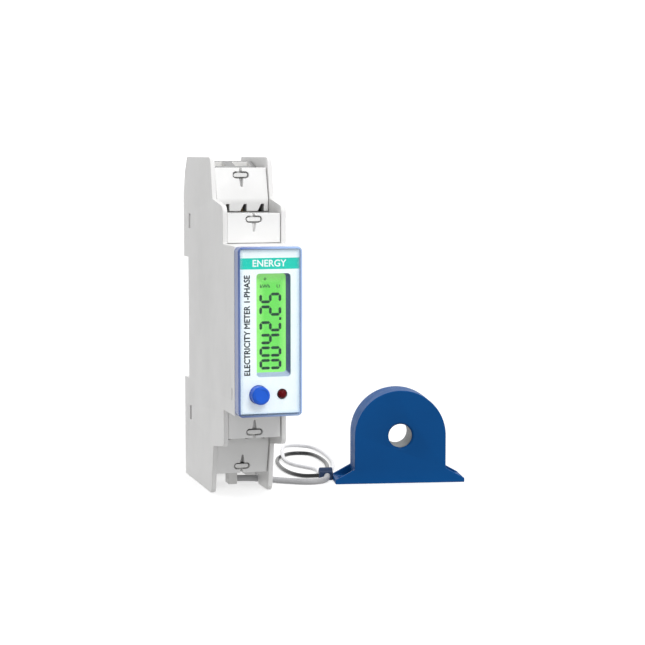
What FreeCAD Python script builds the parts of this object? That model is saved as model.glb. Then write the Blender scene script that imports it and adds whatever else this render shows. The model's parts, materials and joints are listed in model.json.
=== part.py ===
import FreeCAD, Part
import math
import os
import Sketcher

# One-module energy meter for a 35 mm rail, with the current transformer that it reads.
# X runs across the module, Y from the front (negative) to the rail, Z up.
# Depths are measured forward from the meter's rear plane.

SIZES = {
    # housing
    "width": 17.5, "height": 93.5, "wall": 1.3, "corner_radius": 2.0, "joint_gap": 0.15,
    "face_mid": 47.95, "nose_half": 22.4, "inner_tier_half": 32.4, "outer_tier_half": 34.2,
    "depth_end": 34.6, "depth_step": 37.2, "depth_tier": 49.8, "depth_nose": 62.4,
    "slope_start": 83.0, "slope_mid": 89.0, "slope_mid_depth": 1.6, "slope_top_depth": 4.8,
    "rail_mid": 46.8, "rail_slot": 35.4, "rail_depth": 6.0, "rail_lip": 1.2,
    "ledge_depth": 47.2,
    # window slots and the arms that snap into them
    "arm_depth": 7.2, "arm_high_mid": 75.0, "arm_low_mid": 19.2, "arm_height": 3.6, "arm_thick": 1.1,
    # outer terminals: a row of two; inner terminals: a row of three
    "outer_pitch": 7.4, "inner_pitch": 4.9,
    "outer_end": 42.6, "inner_end": 30.5, "cover_recess": 0.6,
    "outer_floor": 32.6, "inner_floor": 22.4,
    "block_back": 6.6, "outer_front": 32.0, "inner_back": 37.0, "inner_front": 47.0,
    # slope behind the outer terminals that holds their wire entries
    "hood_front": 23.6, "hood_back": 17.2, "hood_rise": 1.8,
    # snap hole in each terminal cover, the tapered groove inward of it and the wire mouths
    "hole_long": 4.6, "hole_short": 1.9, "post_gap": 0.38, "slit_width": 0.7,
    "groove_wide": 1.5, "groove_narrow": 0.45, "groove_long": 3.3, "groove_floor": 0.7,
    "mouth_wide": 2.3, "mouth_tall": 2.0,
    "outer_hole_mid": 40.6, "inner_hole_mid": 28.9,
    # face
    "window_thick": 4.4, "window_skin": 1.2, "window_side": 0.55, "window_end": 0.8,
    "window_gap": 0.1, "window_corner": 1.3, "window_edge": 0.5,
    "label_thick": 0.2, "carrier_thick": 1.4,
    "lcd_left": -3.55, "lcd_right": 5.8, "lcd_low": 35.95, "lcd_high": 63.3, "bezel_wall": 0.5,
    "bezel_depth": 2.2, "bezel_slope_side": 0.8, "bezel_slope_foot": 1.15, "bezel_slope_head": 0.2,
    "bezel_corner": 0.9,
    "button_x": -3.05, "button_z": 31.5, "button_radius": 2.4, "button_flange": 0.6,
    "button_edge": 0.45, "button_dish": 0.25, "button_out": 2.0, "button_travel": 1.0,
    "led_x": 3.36, "led_radius": 1.25, "hole_gap": 0.15,
    "board_thick": 1.6, "display_board_drop": 8.0,
    # rail clip
    "clip_half": 4.5,
    # current transformer
    "ct_width": 26.4, "ct_height": 26.8, "ct_thick": 11.0, "ct_wall": 1.2, "ct_foot_span": 37.4,
    "ct_foot_thick": 1.2, "ct_gusset": 4.2, "ct_gusset_thick": 1.0, "ct_bore": 3.4, "ct_liner": 0.6,
    "ct_axis": 13.7, "ct_bore_edge": 0.5,
    "ct_foot_hole": 1.2, "ct_foot_pitch": 32.4, "ct_turn": -10.0,
    "ct_x": 46.9, "ct_depth": 34.4,
    # leads
    "core_radius": 0.6, "jacket_radius": 0.9, "lead_exit_depth": 22.0, "lead_notch": 3.0,
}

doc = FreeCAD.newDocument("meter")
sheet = doc.addObject("Spreadsheet::Sheet", "p")
for row, (alias, value) in enumerate(SIZES.items(), start=1):
    sheet.set(f"A{row}", alias)
    sheet.set(f"B{row}", str(value))
    sheet.setAlias(f"B{row}", alias)
doc.recompute()

parts = []


def expression(text):
    """Turn words of the sheet into references to its cells."""
    if not isinstance(text, str):
        return repr(float(text))
    words = sorted(SIZES, key=len, reverse=True)
    out = ""
    word = ""
    for sign in text + " ":
        if sign.isalnum() or sign == "_" or (sign == "." and word.replace(".", "").isdigit()):
            word += sign
            continue
        out += f"p.{word}" if word in words else word
        word = ""
        out += sign
    return out.strip()


def bind(thing, **cells):
    """Bind properties to the sheet; an underscore in a name stands for a dot."""
    for name, text in cells.items():
        thing.setExpression(name.replace("__", "."), expression(text))
    return thing


def place(thing, x=0, y=0, z=0):
    return bind(thing, Placement__Base__x=x, Placement__Base__y=y, Placement__Base__z=z)


def both(span):
    low, high = span
    return f"({high}) - ({low})", f"{low}"


def slab(name, xs, depths, zs):
    """A box between two values of X, of depth and of Z."""
    thing = doc.addObject("Part::Box", name)
    length, x = both(xs)
    width, _ = both(depths)
    tall, z = both(zs)
    bind(thing, Length=length, Width=width, Height=tall)
    return place(thing, x, f"-({depths[1]})", z)


def rod(name, axis, radius, start, end, across):
    """A cylinder along x, y (given as depths) or z; across holds its two other coordinates."""
    thing = doc.addObject("Part::Cylinder", name)
    bind(thing, Radius=radius, Height=f"({end}) - ({start})")
    first, second = across
    if axis == "x":
        thing.Placement.Rotation = FreeCAD.Rotation(FreeCAD.Vector(0, 1, 0), 90)
        return place(thing, start, f"-({first})", second)
    if axis == "y":
        thing.Placement.Rotation = FreeCAD.Rotation(FreeCAD.Vector(1, 0, 0), 90)
        return place(thing, first, f"-({start})", second)
    return place(thing, first, f"-({second})", start)


def fuse(name, things):
    thing = doc.addObject("Part::MultiFuse", name)
    thing.Shapes = things
    return thing


def cut(name, base, tools):
    thing = doc.addObject("Part::Cut", name)
    thing.Base = base
    thing.Tool = tools[0] if len(tools) == 1 else fuse(name + "_tools", tools)
    return thing


def keep(thing, node):
    """Make a finished sub-part of a document object."""
    thing.Label = node
    parts.append(thing)
    return thing


def body(name):
    return doc.addObject("PartDesign::Body", name)


def sketch_on(owner, role, name):
    sketch = owner.newObject("Sketcher::SketchObject", name)
    plane = next(item for item in owner.Origin.OriginFeatures if item.Role == role)
    sketch.AttachmentSupport = (plane, [""])
    sketch.MapMode = "FlatFace"
    return sketch


def value(text):
    """The present value of an expression of the sheet, to draw a sketch before it is bound."""
    probe = sheet.evalExpression(expression(text))
    return float(probe)


def polygon(sketch, corners):
    """A closed outline whose corners are bound to the sheet, in the sketch's own two directions."""
    points = [FreeCAD.Vector(value(a), value(b), 0) for a, b in corners]
    count = len(points)
    first = sketch.GeometryCount
    for index in range(count):
        sketch.addGeometry(Part.LineSegment(points[index], points[(index + 1) % count]), False)
    for index in range(count):
        following = first + (index + 1) % count
        sketch.addConstraint(Sketcher.Constraint("Coincident", first + index, 2, following, 1))
    for index, (across, up) in enumerate(corners):
        for kind, text in (("DistanceX", across), ("DistanceY", up)):
            number = sketch.addConstraint(
                Sketcher.Constraint(kind, first + index, 1, value(text)))
            sketch.setExpression(f"Constraints[{number}]", expression(text))


def profile(corners):
    """Corners given as depth and height, turned into the directions of the YZ plane."""
    return [(f"-({depth})", height) for depth, height in corners]


def pad(owner, sketch, length, name, backward=False):
    feature = owner.newObject("PartDesign::Pad", name)
    feature.Profile = sketch
    bind(feature, Length=length)
    feature.Reversed = backward
    return feature


def pocket(owner, sketch, length, name, backward=False, symmetric=False):
    feature = owner.newObject("PartDesign::Pocket", name)
    feature.Profile = sketch
    bind(feature, Length=length)
    feature.Reversed = backward
    feature.Midplane = symmetric
    return feature


def edges_where(shape, test):
    return [f"Edge{number}" for number, edge in enumerate(shape.Edges, start=1) if test(edge)]


def straight_along(edge, axis):
    """True for a straight edge along one axis (0, 1 or 2)."""
    box = edge.BoundBox
    spans = (box.XLength, box.YLength, box.ZLength)
    others = [span for number, span in enumerate(spans) if number != axis]
    return len(edge.Vertexes) == 2 and max(others) < 1e-4 and spans[axis] > 1e-4


# Outline of the housing -----------------------------------------------------------------

RAIL_LOW = "rail_mid - rail_slot / 2"
RAIL_HIGH = "rail_mid + rail_slot / 2"

OUTLINE = [
    ("0", "0"), ("depth_end", "0"),
    ("depth_step", "face_mid - outer_tier_half"), ("depth_tier", "face_mid - inner_tier_half"),
    ("depth_tier", "face_mid - nose_half"), ("depth_nose", "face_mid - nose_half"),
    ("depth_nose", "face_mid + nose_half"), ("depth_tier", "face_mid + nose_half"),
    ("depth_tier", "face_mid + inner_tier_half"), ("depth_step", "face_mid + outer_tier_half"),
    ("depth_end", "height"), ("slope_top_depth", "height"),
    ("slope_mid_depth", "slope_mid"), ("0", "slope_start"),
    ("0", RAIL_HIGH), ("rail_depth", RAIL_HIGH), ("rail_depth", RAIL_LOW), ("0", RAIL_LOW),
]

# Between the side walls the housing is open at its ends and front; ledges close the face.
BEYOND = 10
HOLLOW = [
    ("wall", -BEYOND), ("wall", f"{RAIL_LOW} - wall"), ("rail_depth + wall", f"{RAIL_LOW} - wall"),
    ("rail_depth + wall", f"{RAIL_HIGH} + wall"), ("wall", f"{RAIL_HIGH} + wall"),
    ("wall", "slope_start"), ("slope_mid_depth + wall", "slope_mid"),
    ("slope_top_depth + wall + 0.8", f"height + {BEYOND}"),
    (f"depth_nose + {BEYOND}", f"height + {BEYOND}"),
    (f"depth_nose + {BEYOND}", "face_mid + nose_half"), ("ledge_depth", "face_mid + nose_half"),
    ("ledge_depth", "face_mid + nose_half - wall"),
    (f"depth_nose + {BEYOND}", "face_mid + nose_half - wall"),
    (f"depth_nose + {BEYOND}", "face_mid - nose_half + wall"),
    ("ledge_depth", "face_mid - nose_half + wall"), ("ledge_depth", "face_mid - nose_half"),
    (f"depth_nose + {BEYOND}", "face_mid - nose_half"), (f"depth_nose + {BEYOND}", -BEYOND),
]

MERGE = 0.1
CLIP_GAP = 0.3
CLIP_SLOT_HALF = f"clip_half + {CLIP_GAP}"
CLIP_BACK = 1.6
CLIP_FRONT = 3.8
CLIP_JAW_OUT = 1.0
LIP_DEPTHS = (1.4, 4.7)
SPRING_LOW, SPRING_HIGH = 16.5, 23.0
SHELF_DEPTHS, SHELF_HEIGHTS = (4.2, 7.2), (15.5, SPRING_LOW)
GUIDE_DEPTHS, GUIDE_HEIGHTS = (1.0, 4.6), (16.0, 27.0)
BOSS_RADIUS, BOSS_LENGTH, BOSS_DEPTH, BOSS_HEIGHTS = 1.6, 1.05, 15.0, (31.0, 64.0)
ARM_MIDS = ("arm_high_mid", "arm_low_mid")
ARM_SHORT, ARM_CLEAR, ARM_CLEAR_DEPTH = 0.35, 0.3, 0.5
CATCH_DEPTHS, CATCH_HEIGHTS = (59.0, 59.7), (29.4, 32.6)


def round_wall_corners(owner, base):
    """Round the side wall's corners at the front of both ends and of both inner tiers."""
    corners = [(SIZES["depth_end"], 0), (SIZES["depth_end"], SIZES["height"]),
               (SIZES["depth_tier"], SIZES["face_mid"] - SIZES["inner_tier_half"]),
               (SIZES["depth_tier"], SIZES["face_mid"] + SIZES["inner_tier_half"])]

    def at_corner(edge):
        middle = edge.CenterOfMass
        near = any(math.hypot(middle.y + deep, middle.z - high) < 0.05 for deep, high in corners)
        return straight_along(edge, 0) and near

    fillet = owner.newObject("PartDesign::Fillet", owner.Name + "_corners")
    fillet.Base = (base, edges_where(base.Shape, at_corner))
    bind(fillet, Radius="corner_radius")
    doc.recompute()
    return fillet


def shell(side):
    """Half of the housing: side is -1 for the left half and 1 for the right."""
    name = "left_shell" if side < 0 else "right_shell"
    owner = body(name + "_wall")
    outer = sketch_on(owner, "YZ_Plane", name + "_outline")
    polygon(outer, profile(OUTLINE))
    wall_pad = pad(owner, outer, "width / 2", name + "_pad", backward=side < 0)
    doc.recompute()
    fillet = round_wall_corners(owner, wall_pad)
    owner.Tip = fillet
    hollow = sketch_on(owner, "YZ_Plane", name + "_hollow")
    polygon(hollow, profile(HOLLOW))
    before = fillet.Shape.Volume
    inside = pocket(owner, hollow, "width / 2 - wall", name + "_inside", backward=side > 0)
    doc.recompute()
    assert inside.Shape.Volume < 0.5 * before, name + " was not hollowed"
    inner = "width / 2 - wall"

    def half(low, high):
        """A stretch of X on this half, from the middle plane outwards."""
        return (f"-({high})", f"-({low})") if side < 0 else (low, high)

    lip = slab(name + "_lip", half("0", CLIP_SLOT_HALF), LIP_DEPTHS,
               (f"{RAIL_HIGH} - rail_lip", f"{RAIL_HIGH} + wall"))
    shelf = slab(name + "_shelf", half("0", f"{inner} + {MERGE}"), SHELF_DEPTHS, SHELF_HEIGHTS)
    guide = slab(name + "_guide", half(CLIP_SLOT_HALF, f"{inner} + {MERGE}"), GUIDE_DEPTHS, GUIDE_HEIGHTS)
    details = board_bosses(inner) if side < 0 else snap_arms(inner)
    whole = fuse(name + "_whole", [owner, lip, shelf, guide] + details)
    clip_slot = slab(name + "_clip_slot", half(-MERGE, CLIP_SLOT_HALF),
                     (CLIP_BACK - CLIP_GAP, CLIP_FRONT + CLIP_JAW_OUT + CLIP_GAP),
                     (f"{RAIL_LOW} - wall - 1", f"{RAIL_LOW} + 1"))
    openings = left_wall_openings(inner) if side < 0 else [lead_opening(inner)]
    return keep(cut(name, whole, [clip_slot] + openings), name)


def board_bosses(inner):
    """Two pads on the left wall that the main board rests on."""
    return [rod(f"board_boss_{number}", "x", BOSS_RADIUS, f"-({inner}) - {MERGE}",
                f"-({inner}) + {BOSS_LENGTH}", (BOSS_DEPTH, high))
            for number, high in enumerate(BOSS_HEIGHTS)]


def snap_arms(inner):
    """Two arms that reach across from the right half into the left wall's windows."""
    return [slab(f"snap_arm_{number}", (f"-(width / 2 - {ARM_SHORT})", f"{inner} + {MERGE}"),
                 ("arm_depth", "arm_depth + arm_thick"),
                 (f"{mid} - arm_height / 2", f"{mid} + arm_height / 2"))
            for number, mid in enumerate(ARM_MIDS)]


def left_wall_openings(inner):
    """The windows for the snap arms, and the small one beside the carrier."""
    through = ("-(width / 2 + 1)", f"-({inner}) + 0.2")
    windows = [slab(f"snap_window_{number}", through,
                    (f"arm_depth - {ARM_CLEAR_DEPTH}", f"arm_depth + arm_thick + {ARM_CLEAR_DEPTH}"),
                    (f"{mid} - arm_height / 2 - {ARM_CLEAR}", f"{mid} + arm_height / 2 + {ARM_CLEAR}"))
               for number, mid in enumerate(ARM_MIDS)]
    return windows + [slab("carrier_window", through, CATCH_DEPTHS, CATCH_HEIGHTS)]


def lead_opening(inner):
    """The notch at the right wall's foot that the jacketed lead passes."""
    return slab("lead_notch_cut", (f"{inner} - 0.2", "width / 2 + 1"),
                ("lead_exit_depth - lead_notch / 2", "lead_exit_depth + lead_notch / 2"),
                (-1, "lead_notch"))


# Terminals --------------------------------------------------------------------------------

class Tier:
    """One step of the housing with a row of screw terminals behind a snap-on cover."""

    def __init__(self, name, up, inner_row):
        self.name = name
        self.up = up
        self.inner_row = inner_row
        kind = "inner" if inner_row else "outer"
        self.pitch = f"{kind}_pitch"
        self.count = 3 if inner_row else 2
        self.front = f"{kind}_front"
        self.back = "inner_back" if inner_row else "block_back"
        self.end = f"{kind}_end"
        self.floor = f"{kind}_floor"
        self.hole_mid = f"{kind}_hole_mid"
        # heights are offsets from the middle of the face
        self.axis = 25.9 if inner_row else 37.4
        self.head_radius = 1.4 if inner_row else 1.95
        self.head_length = 1.5 if inner_row else 2.3
        self.shank_radius = 0.9 if inner_row else 1.3
        self.cage_wide = 3.7 if inner_row else 5.2
        self.cage_tall = 4.0 if inner_row else 5.4
        self.cage_long = 5.6 if inner_row else 8.6
        self.cage_wall = 0.9 if inner_row else 1.3
        self.travel = 1.5 if inner_row else 3.3
        self.bar_thick = 0.8 if inner_row else 1.0

    def heights(self, low, high):
        """A stretch of Z given as offsets from the middle of the face, mirrored below it."""
        if self.up:
            return f"face_mid + ({low})", f"face_mid + ({high})"
        return f"face_mid - ({high})", f"face_mid - ({low})"

    def height(self, offset):
        return f"face_mid + ({offset})" if self.up else f"face_mid - ({offset})"

    def places(self):
        middle = (self.count - 1) / 2
        return [f"({number - middle}) * {self.pitch}" for number in range(self.count)]

    def head_front(self):
        return f"{self.front} - 0.3"

    def head_back(self):
        return f"{self.front} - 0.3 - {self.head_length}"

    def chamber_front(self):
        return f"{self.front} - 0.5 - {self.head_length}"

    def cage_front(self):
        """Front of the cage when the terminal is open."""
        return f"{self.chamber_front()} - 0.3 - {self.travel}"

    def cage_back(self):
        return f"{self.cage_front()} - {self.cage_long}"

    def bar_front(self):
        return f"{self.cage_back()} + {self.cage_wall} + {self.travel} + 0.5 + {self.bar_thick}"


TIERS = [Tier("upper_outer", True, False), Tier("upper_inner", True, True),
         Tier("lower_inner", False, True), Tier("lower_outer", False, False)]
BLOCK_SIDE_GAP = 0.15


def entry_hood(tier, side):
    """The raised back of an outer block, whose slope holds the wire entries."""
    owner = body(tier.name + "_hood")
    sketch = sketch_on(owner, "YZ_Plane", tier.name + "_hood_outline")
    base = tier.height(f"{tier.end} - 1")
    top = tier.height(f"{tier.end} + hood_rise")
    polygon(sketch, profile([(tier.back, base), ("hood_front", base), ("hood_front", tier.height(tier.end)),
                             ("hood_back", top), (tier.back, top)]))
    feature = pad(owner, sketch, f"2 * ({side})", tier.name + "_hood_pad")
    feature.Midplane = True
    doc.recompute()
    return owner


def terminal_block(tier):
    side = f"width / 2 - wall - {BLOCK_SIDE_GAP}"
    block = slab(tier.name + "_block_body", (f"-({side})", side), (tier.back, tier.front),
                 tier.heights(tier.floor, tier.end))
    pieces = [block, oval_post(tier)]
    if not tier.inner_row:
        pieces.append(entry_hood(tier, side))
    base = fuse(tier.name + "_block_base", pieces)
    cuts = []
    for number, x in enumerate(tier.places()):
        name = f"{tier.name}_{number}"
        half_wide = tier.cage_wide / 2 + 0.2
        half_tall = tier.cage_tall / 2 + 0.2
        cuts.append(slab(name + "_chamber", (f"{x} - {half_wide}", f"{x} + {half_wide}"),
                         (f"{tier.cage_back()} - 0.2", tier.chamber_front()),
                         tier.heights(tier.axis - half_tall, tier.axis + half_tall)))
        cuts.append(rod(name + "_head_bore", "y", tier.head_radius + 0.25,
                        f"{tier.chamber_front()} - {MERGE}", f"{tier.front} + 1",
                        (x, tier.height(tier.axis))))
        entry = tier.cage_wide / 2 - 0.35
        mouth = f"{tier.cage_back()} + {tier.cage_wall} - 0.3"
        cuts.append(slab(name + "_entry", (f"{x} - {entry}", f"{x} + {entry}"),
                         (mouth, f"{tier.bar_front()} - {tier.bar_thick}"),
                         tier.heights(tier.axis, f"{tier.end} + hood_rise + 1")))
        bar_half = tier.cage_wide / 2 - 0.9
        cuts.append(slab(name + "_bar_slot", (f"{x} - {bar_half}", f"{x} + {bar_half}"),
                         (f"{tier.bar_front()} - {tier.bar_thick}", tier.bar_front()),
                         tier.heights(f"{tier.floor} - 1", tier.axis)))
    return keep(cut(tier.name + "_terminals", base, cuts), tier.name + "_terminal_block")


def oval(name, tier, length, width, depths, mid):
    """A rounded slot across the module: length along X, width along Z."""
    half_run = f"(({length}) - ({width})) / 2"
    heights = tier.heights(f"{mid} - ({width}) / 2", f"{mid} + ({width}) / 2")
    middle = slab(name + "_middle", (f"-({half_run})", half_run), depths, heights)
    ends = [rod(f"{name}_end_{number}", "y", f"({width}) / 2", depths[0], depths[1],
                (f"{sign} * ({half_run})", tier.height(mid))) for number, sign in enumerate((-1, 1))]
    return fuse(name, [middle] + ends)


def oval_post(tier):
    """The post that the cover's snap hole grips."""
    # the outer covers lean back towards the end, so their posts are shorter
    reach = "depth_tier - cover_recess - 0.3" if tier.inner_row else "depth_end - cover_recess + 0.3"
    return oval(tier.name + "_post", tier, "hole_long - 2 * post_gap", "hole_short - 2 * post_gap",
                (f"{tier.front} - 0.5", reach), tier.hole_mid)


def front_cutter(name, corners, start):
    """A prism that cuts everything in front of a depth, with its outline in X and Z."""
    owner = body(name + "_prism")
    sketch = sketch_on(owner, "XZ_Plane", name + "_outline")
    polygon(sketch, corners)
    pad(owner, sketch, "depth_nose", name + "_pad")
    doc.recompute()
    return place(owner, 0, f"-({start})", 0)


def cover_plate(tier):
    """The blank of a cover; an outer one leans back towards the end."""
    owner = body(tier.name + "_cover_plate")
    sketch = sketch_on(owner, "YZ_Plane", tier.name + "_cover_outline")
    inside = f"{tier.front} + joint_gap"
    end = tier.height(tier.end)
    if tier.inner_row:
        floor = tier.height("nose_half + joint_gap")
        face = "depth_tier - cover_recess"
        corners = [(inside, floor), (face, floor), (face, end), (inside, end)]
    else:
        floor = tier.height("inner_end + joint_gap")
        face = "depth_step - cover_recess"
        corners = [(inside, floor), (face, floor), (face, tier.height("outer_tier_half")),
                   (f"depth_end - cover_recess + {MERGE}", end), (inside, end)]
    polygon(sketch, profile(corners))
    feature = pad(owner, sketch, "2 * (width / 2 - wall - joint_gap)", tier.name + "_cover_pad")
    feature.Midplane = True
    doc.recompute()
    return owner


def tapered_groove(tier):
    """The finger groove that runs inward from the snap hole and narrows."""
    wide_end = tier.height(tier.hole_mid)
    narrow_end = tier.height(f"{tier.hole_mid} - groove_long")
    corners = [("-(groove_wide / 2)", wide_end), ("groove_wide / 2", wide_end),
               ("groove_narrow / 2", narrow_end), ("-(groove_narrow / 2)", narrow_end)]
    return front_cutter(tier.name + "_groove", corners, f"{tier.front} + joint_gap + groove_floor")


def wire_mouths(tier):
    """Slanted openings at an outer cover's inner edge, over the inner tier's wire entries."""
    mouths = []
    for number in (-1, 0, 1):
        x = f"{number} * inner_pitch"
        low = tier.height("inner_end + joint_gap - 1")
        high = tier.height("inner_end + joint_gap + mouth_tall")
        corners = [(f"{x} - mouth_wide / 2", low), (f"{x} + mouth_wide / 2", low),
                   (f"{x} + mouth_wide / 2", high), (f"{x} + mouth_wide / 6", high)]
        mouths.append(front_cutter(f"{tier.name}_mouth_{number + 2}", corners, f"{tier.front} - 1"))
    return mouths


def terminal_cover(tier):
    """A snap-on plate over the screws, with its oval hole, slit and tapered finger groove."""
    depths = (f"{tier.front} - 1", "depth_tier + 1")
    hole = oval(tier.name + "_snap", tier, "hole_long", "hole_short", depths, tier.hole_mid)
    slit = slab(tier.name + "_slit", ("-(slit_width / 2)", "slit_width / 2"), depths,
                tier.heights(tier.hole_mid, f"{tier.end} + 1"))
    cuts = [hole, slit, tapered_groove(tier)]
    if not tier.inner_row:
        cuts += wire_mouths(tier)
    return keep(cut(tier.name + "_cover_cut", cover_plate(tier), cuts), tier.name + "_cover")


def terminal_screw(tier, number, x):
    """A cheese-head screw with a cross slot, held at its head and bearing on the contact bar."""
    name = f"{tier.name}_screw_{number + 1}"
    across = (x, tier.height(tier.axis))
    head = rod(name + "_head", "y", tier.head_radius, tier.head_back(), tier.head_front(), across)
    shank = rod(name + "_shank", "y", tier.shank_radius, f"{tier.bar_front()} + 0.03",
                f"{tier.head_back()} + 0.1", across)
    blank = fuse(name + "_blank", [head, shank])
    slot_half = 0.28 if tier.inner_row else 0.38
    reach = tier.head_radius + 0.2
    cross_reach = tier.head_radius * 0.62
    slots = []
    for turn, (wide, tall) in enumerate(((reach, slot_half), (slot_half, cross_reach))):
        slots.append(slab(f"{name}_slot_{turn}", (f"{x} - {wide}", f"{x} + {wide}"),
                          (f"{tier.head_front()} - 0.8", f"{tier.head_front()} + 1"),
                          tier.heights(tier.axis - tall, tier.axis + tall)))
    return keep(cut(name + "_cut", blank, slots), name)


def cage_clamp(tier, number, x):
    """A brass frame round the contact bar that the screw draws forward against the conductor."""
    name = f"{tier.name}_clamp_{number + 1}"
    half_wide = tier.cage_wide / 2
    half_tall = tier.cage_tall / 2
    frame = slab(name + "_frame", (f"{x} - {half_wide}", f"{x} + {half_wide}"),
                 (tier.cage_back(), tier.cage_front()),
                 tier.heights(tier.axis - half_tall, tier.axis + half_tall))
    inner_half = half_wide - 0.6
    opening = slab(name + "_opening", (f"{x} - {inner_half}", f"{x} + {inner_half}"),
                   (f"{tier.cage_back()} + {tier.cage_wall}", f"{tier.cage_front()} - {tier.cage_wall}"),
                   tier.heights(tier.axis - half_tall - 1, tier.axis + half_tall + 1))
    thread = rod(name + "_thread", "y", tier.shank_radius + 0.08,
                 f"{tier.cage_front()} - {tier.cage_wall} - 1", f"{tier.cage_front()} + 1",
                 (x, tier.height(tier.axis)))
    return keep(cut(name + "_cut", frame, [opening, thread]), name)


BOARD_FACE_X = -4.8
BAR_DROP = 2.6
BAR_STEP = 1.9


def contact_bars(tier):
    """Strips inside the cages, bent to the main board below the block."""
    strips = []
    for number, x in enumerate(tier.places()):
        name = f"{tier.name}_bar_{number}"
        half = tier.cage_wide / 2 - 1.0
        depths = (f"{tier.bar_front()} - {tier.bar_thick}", tier.bar_front())
        lower = f"{tier.floor} - {BAR_DROP} - {BAR_STEP * number}"
        upright = slab(name + "_upright", (f"{x} - {half}", f"{x} + {half}"), depths,
                       tier.heights(lower, tier.axis + tier.cage_tall / 2 - 0.4))
        foot = slab(name + "_foot", (BOARD_FACE_X, f"{x} + {half}"), depths,
                    tier.heights(lower, f"{lower} + 1.1"))
        strips.append(fuse(name, [upright, foot]))
    return keep(fuse(tier.name + "_bars", strips), tier.name + "_contact_bars")


# Face ---------------------------------------------------------------------------------------

FACE_HALF = "nose_half - wall - joint_gap"
SIDE_HALF = "width / 2 - wall - joint_gap"
COVER_FRONT = "depth_nose + window_thick"
LABEL_FRONT = "depth_nose + window_thick - window_skin"
LABEL_BACK = "depth_nose + window_thick - window_skin - label_thick"
CARRIER_BACK = "depth_nose - carrier_thick"
LCD_FRONT = f"{LABEL_BACK} - bezel_depth"
DISPLAY_BOARD_BACK = "depth_nose - display_board_drop"
DISPLAY_BOARD_FRONT = "depth_nose - display_board_drop + board_thick"
LCD_THICK = 1.5
LCD_MARGIN = 0.4


def small_holes(name, depths):
    """Openings of the face for the button and the pulse lamp."""
    button = rod(name + "_button", "y", "button_radius + hole_gap", depths[0], depths[1],
                 ("button_x", "button_z"))
    lamp = rod(name + "_lamp", "y", "led_radius + hole_gap", depths[0], depths[1],
               ("led_x", "button_z"))
    return [button, lamp]


def display_throat():
    """The display's opening: it narrows towards the glass at its right, foot and head."""
    throat = doc.addObject("Part::Wedge", "display_throat")
    bind(throat, Ymin=f"-({LABEL_FRONT} + {MERGE})", Ymax=f"-({LCD_FRONT} - {MERGE})",
         Xmin="lcd_left", Xmax="lcd_right", Zmin="lcd_low", Zmax="lcd_high",
         X2min="lcd_left", X2max="lcd_right - bezel_slope_side",
         Z2min="lcd_low + bezel_slope_foot", Z2max="lcd_high - bezel_slope_head")
    doc.recompute()
    rounded = doc.addObject("Part::Fillet", "display_throat_corners")
    rounded.Base = throat
    radius = SIZES["bezel_corner"]
    rounded.Edges = [(number, radius, radius) for number, edge in enumerate(throat.Shape.Edges, start=1)
                     if edge.BoundBox.YLength > 1]
    return rounded


def front_window():
    """The clear blue-tinted cap over the face, its rim rounded all round."""
    owner = body("window_plate")
    sketch = sketch_on(owner, "XZ_Plane", "window_outline")
    half = "width / 2 - window_gap"
    low, high = "face_mid - nose_half + window_gap", "face_mid + nose_half - window_gap"
    polygon(sketch, [(f"-({half})", low), (half, low), (half, high), (f"-({half})", high)])
    plate = pad(owner, sketch, COVER_FRONT, "window_pad")
    doc.recompute()
    uprights = owner.newObject("PartDesign::Fillet", "window_corners")
    uprights.Base = (plate, edges_where(plate.Shape, lambda edge: straight_along(edge, 1)))
    bind(uprights, Radius="window_corner")
    doc.recompute()
    front = min(vertex.Y for vertex in uprights.Shape.Vertexes)

    def at_front(edge):
        return abs(edge.BoundBox.YMin - front) < 1e-4 and edge.BoundBox.YLength < 1e-4

    rim = owner.newObject("PartDesign::Chamfer", "window_rim")
    rim.Base = (uprights, edges_where(uprights.Shape, at_front))
    bind(rim, Size="window_edge")
    doc.recompute()
    behind = slab("window_behind", ("-width", "width"), (-1, "depth_nose"), (0, "height"))
    recess = label_area("label_recess", 0.05, ("depth_nose - 1", f"{LABEL_FRONT} + 0.02"))
    holes = small_holes("window_hole", ("depth_nose - 1", f"{COVER_FRONT} + 1"))
    return keep(cut("window_cut", owner, [behind, recess] + holes), "front_window")


def label_area(name, grow, depths):
    """The label's outline, enlarged by grow, between two depths."""
    across = f"width / 2 - window_gap - window_side + ({grow})"
    upright = f"nose_half - window_gap - window_end + ({grow})"
    return slab(name, (f"-({across})", across), depths,
                (f"face_mid - ({upright})", f"face_mid + ({upright})"))


def face_label(throat):
    """The printed label, let into the back of the window and lying on the carrier."""
    printed = label_area("label_sheet", 0, (LABEL_BACK, LABEL_FRONT))
    holes = small_holes("label_hole", ("depth_nose - 1", f"{LABEL_FRONT} + 1"))
    return keep(cut("label_cut", printed, [throat] + holes), "face_label")


LEG_HALF, LEG_TALL, LEG_INSET = 0.6, 1.0, 1.2


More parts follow.
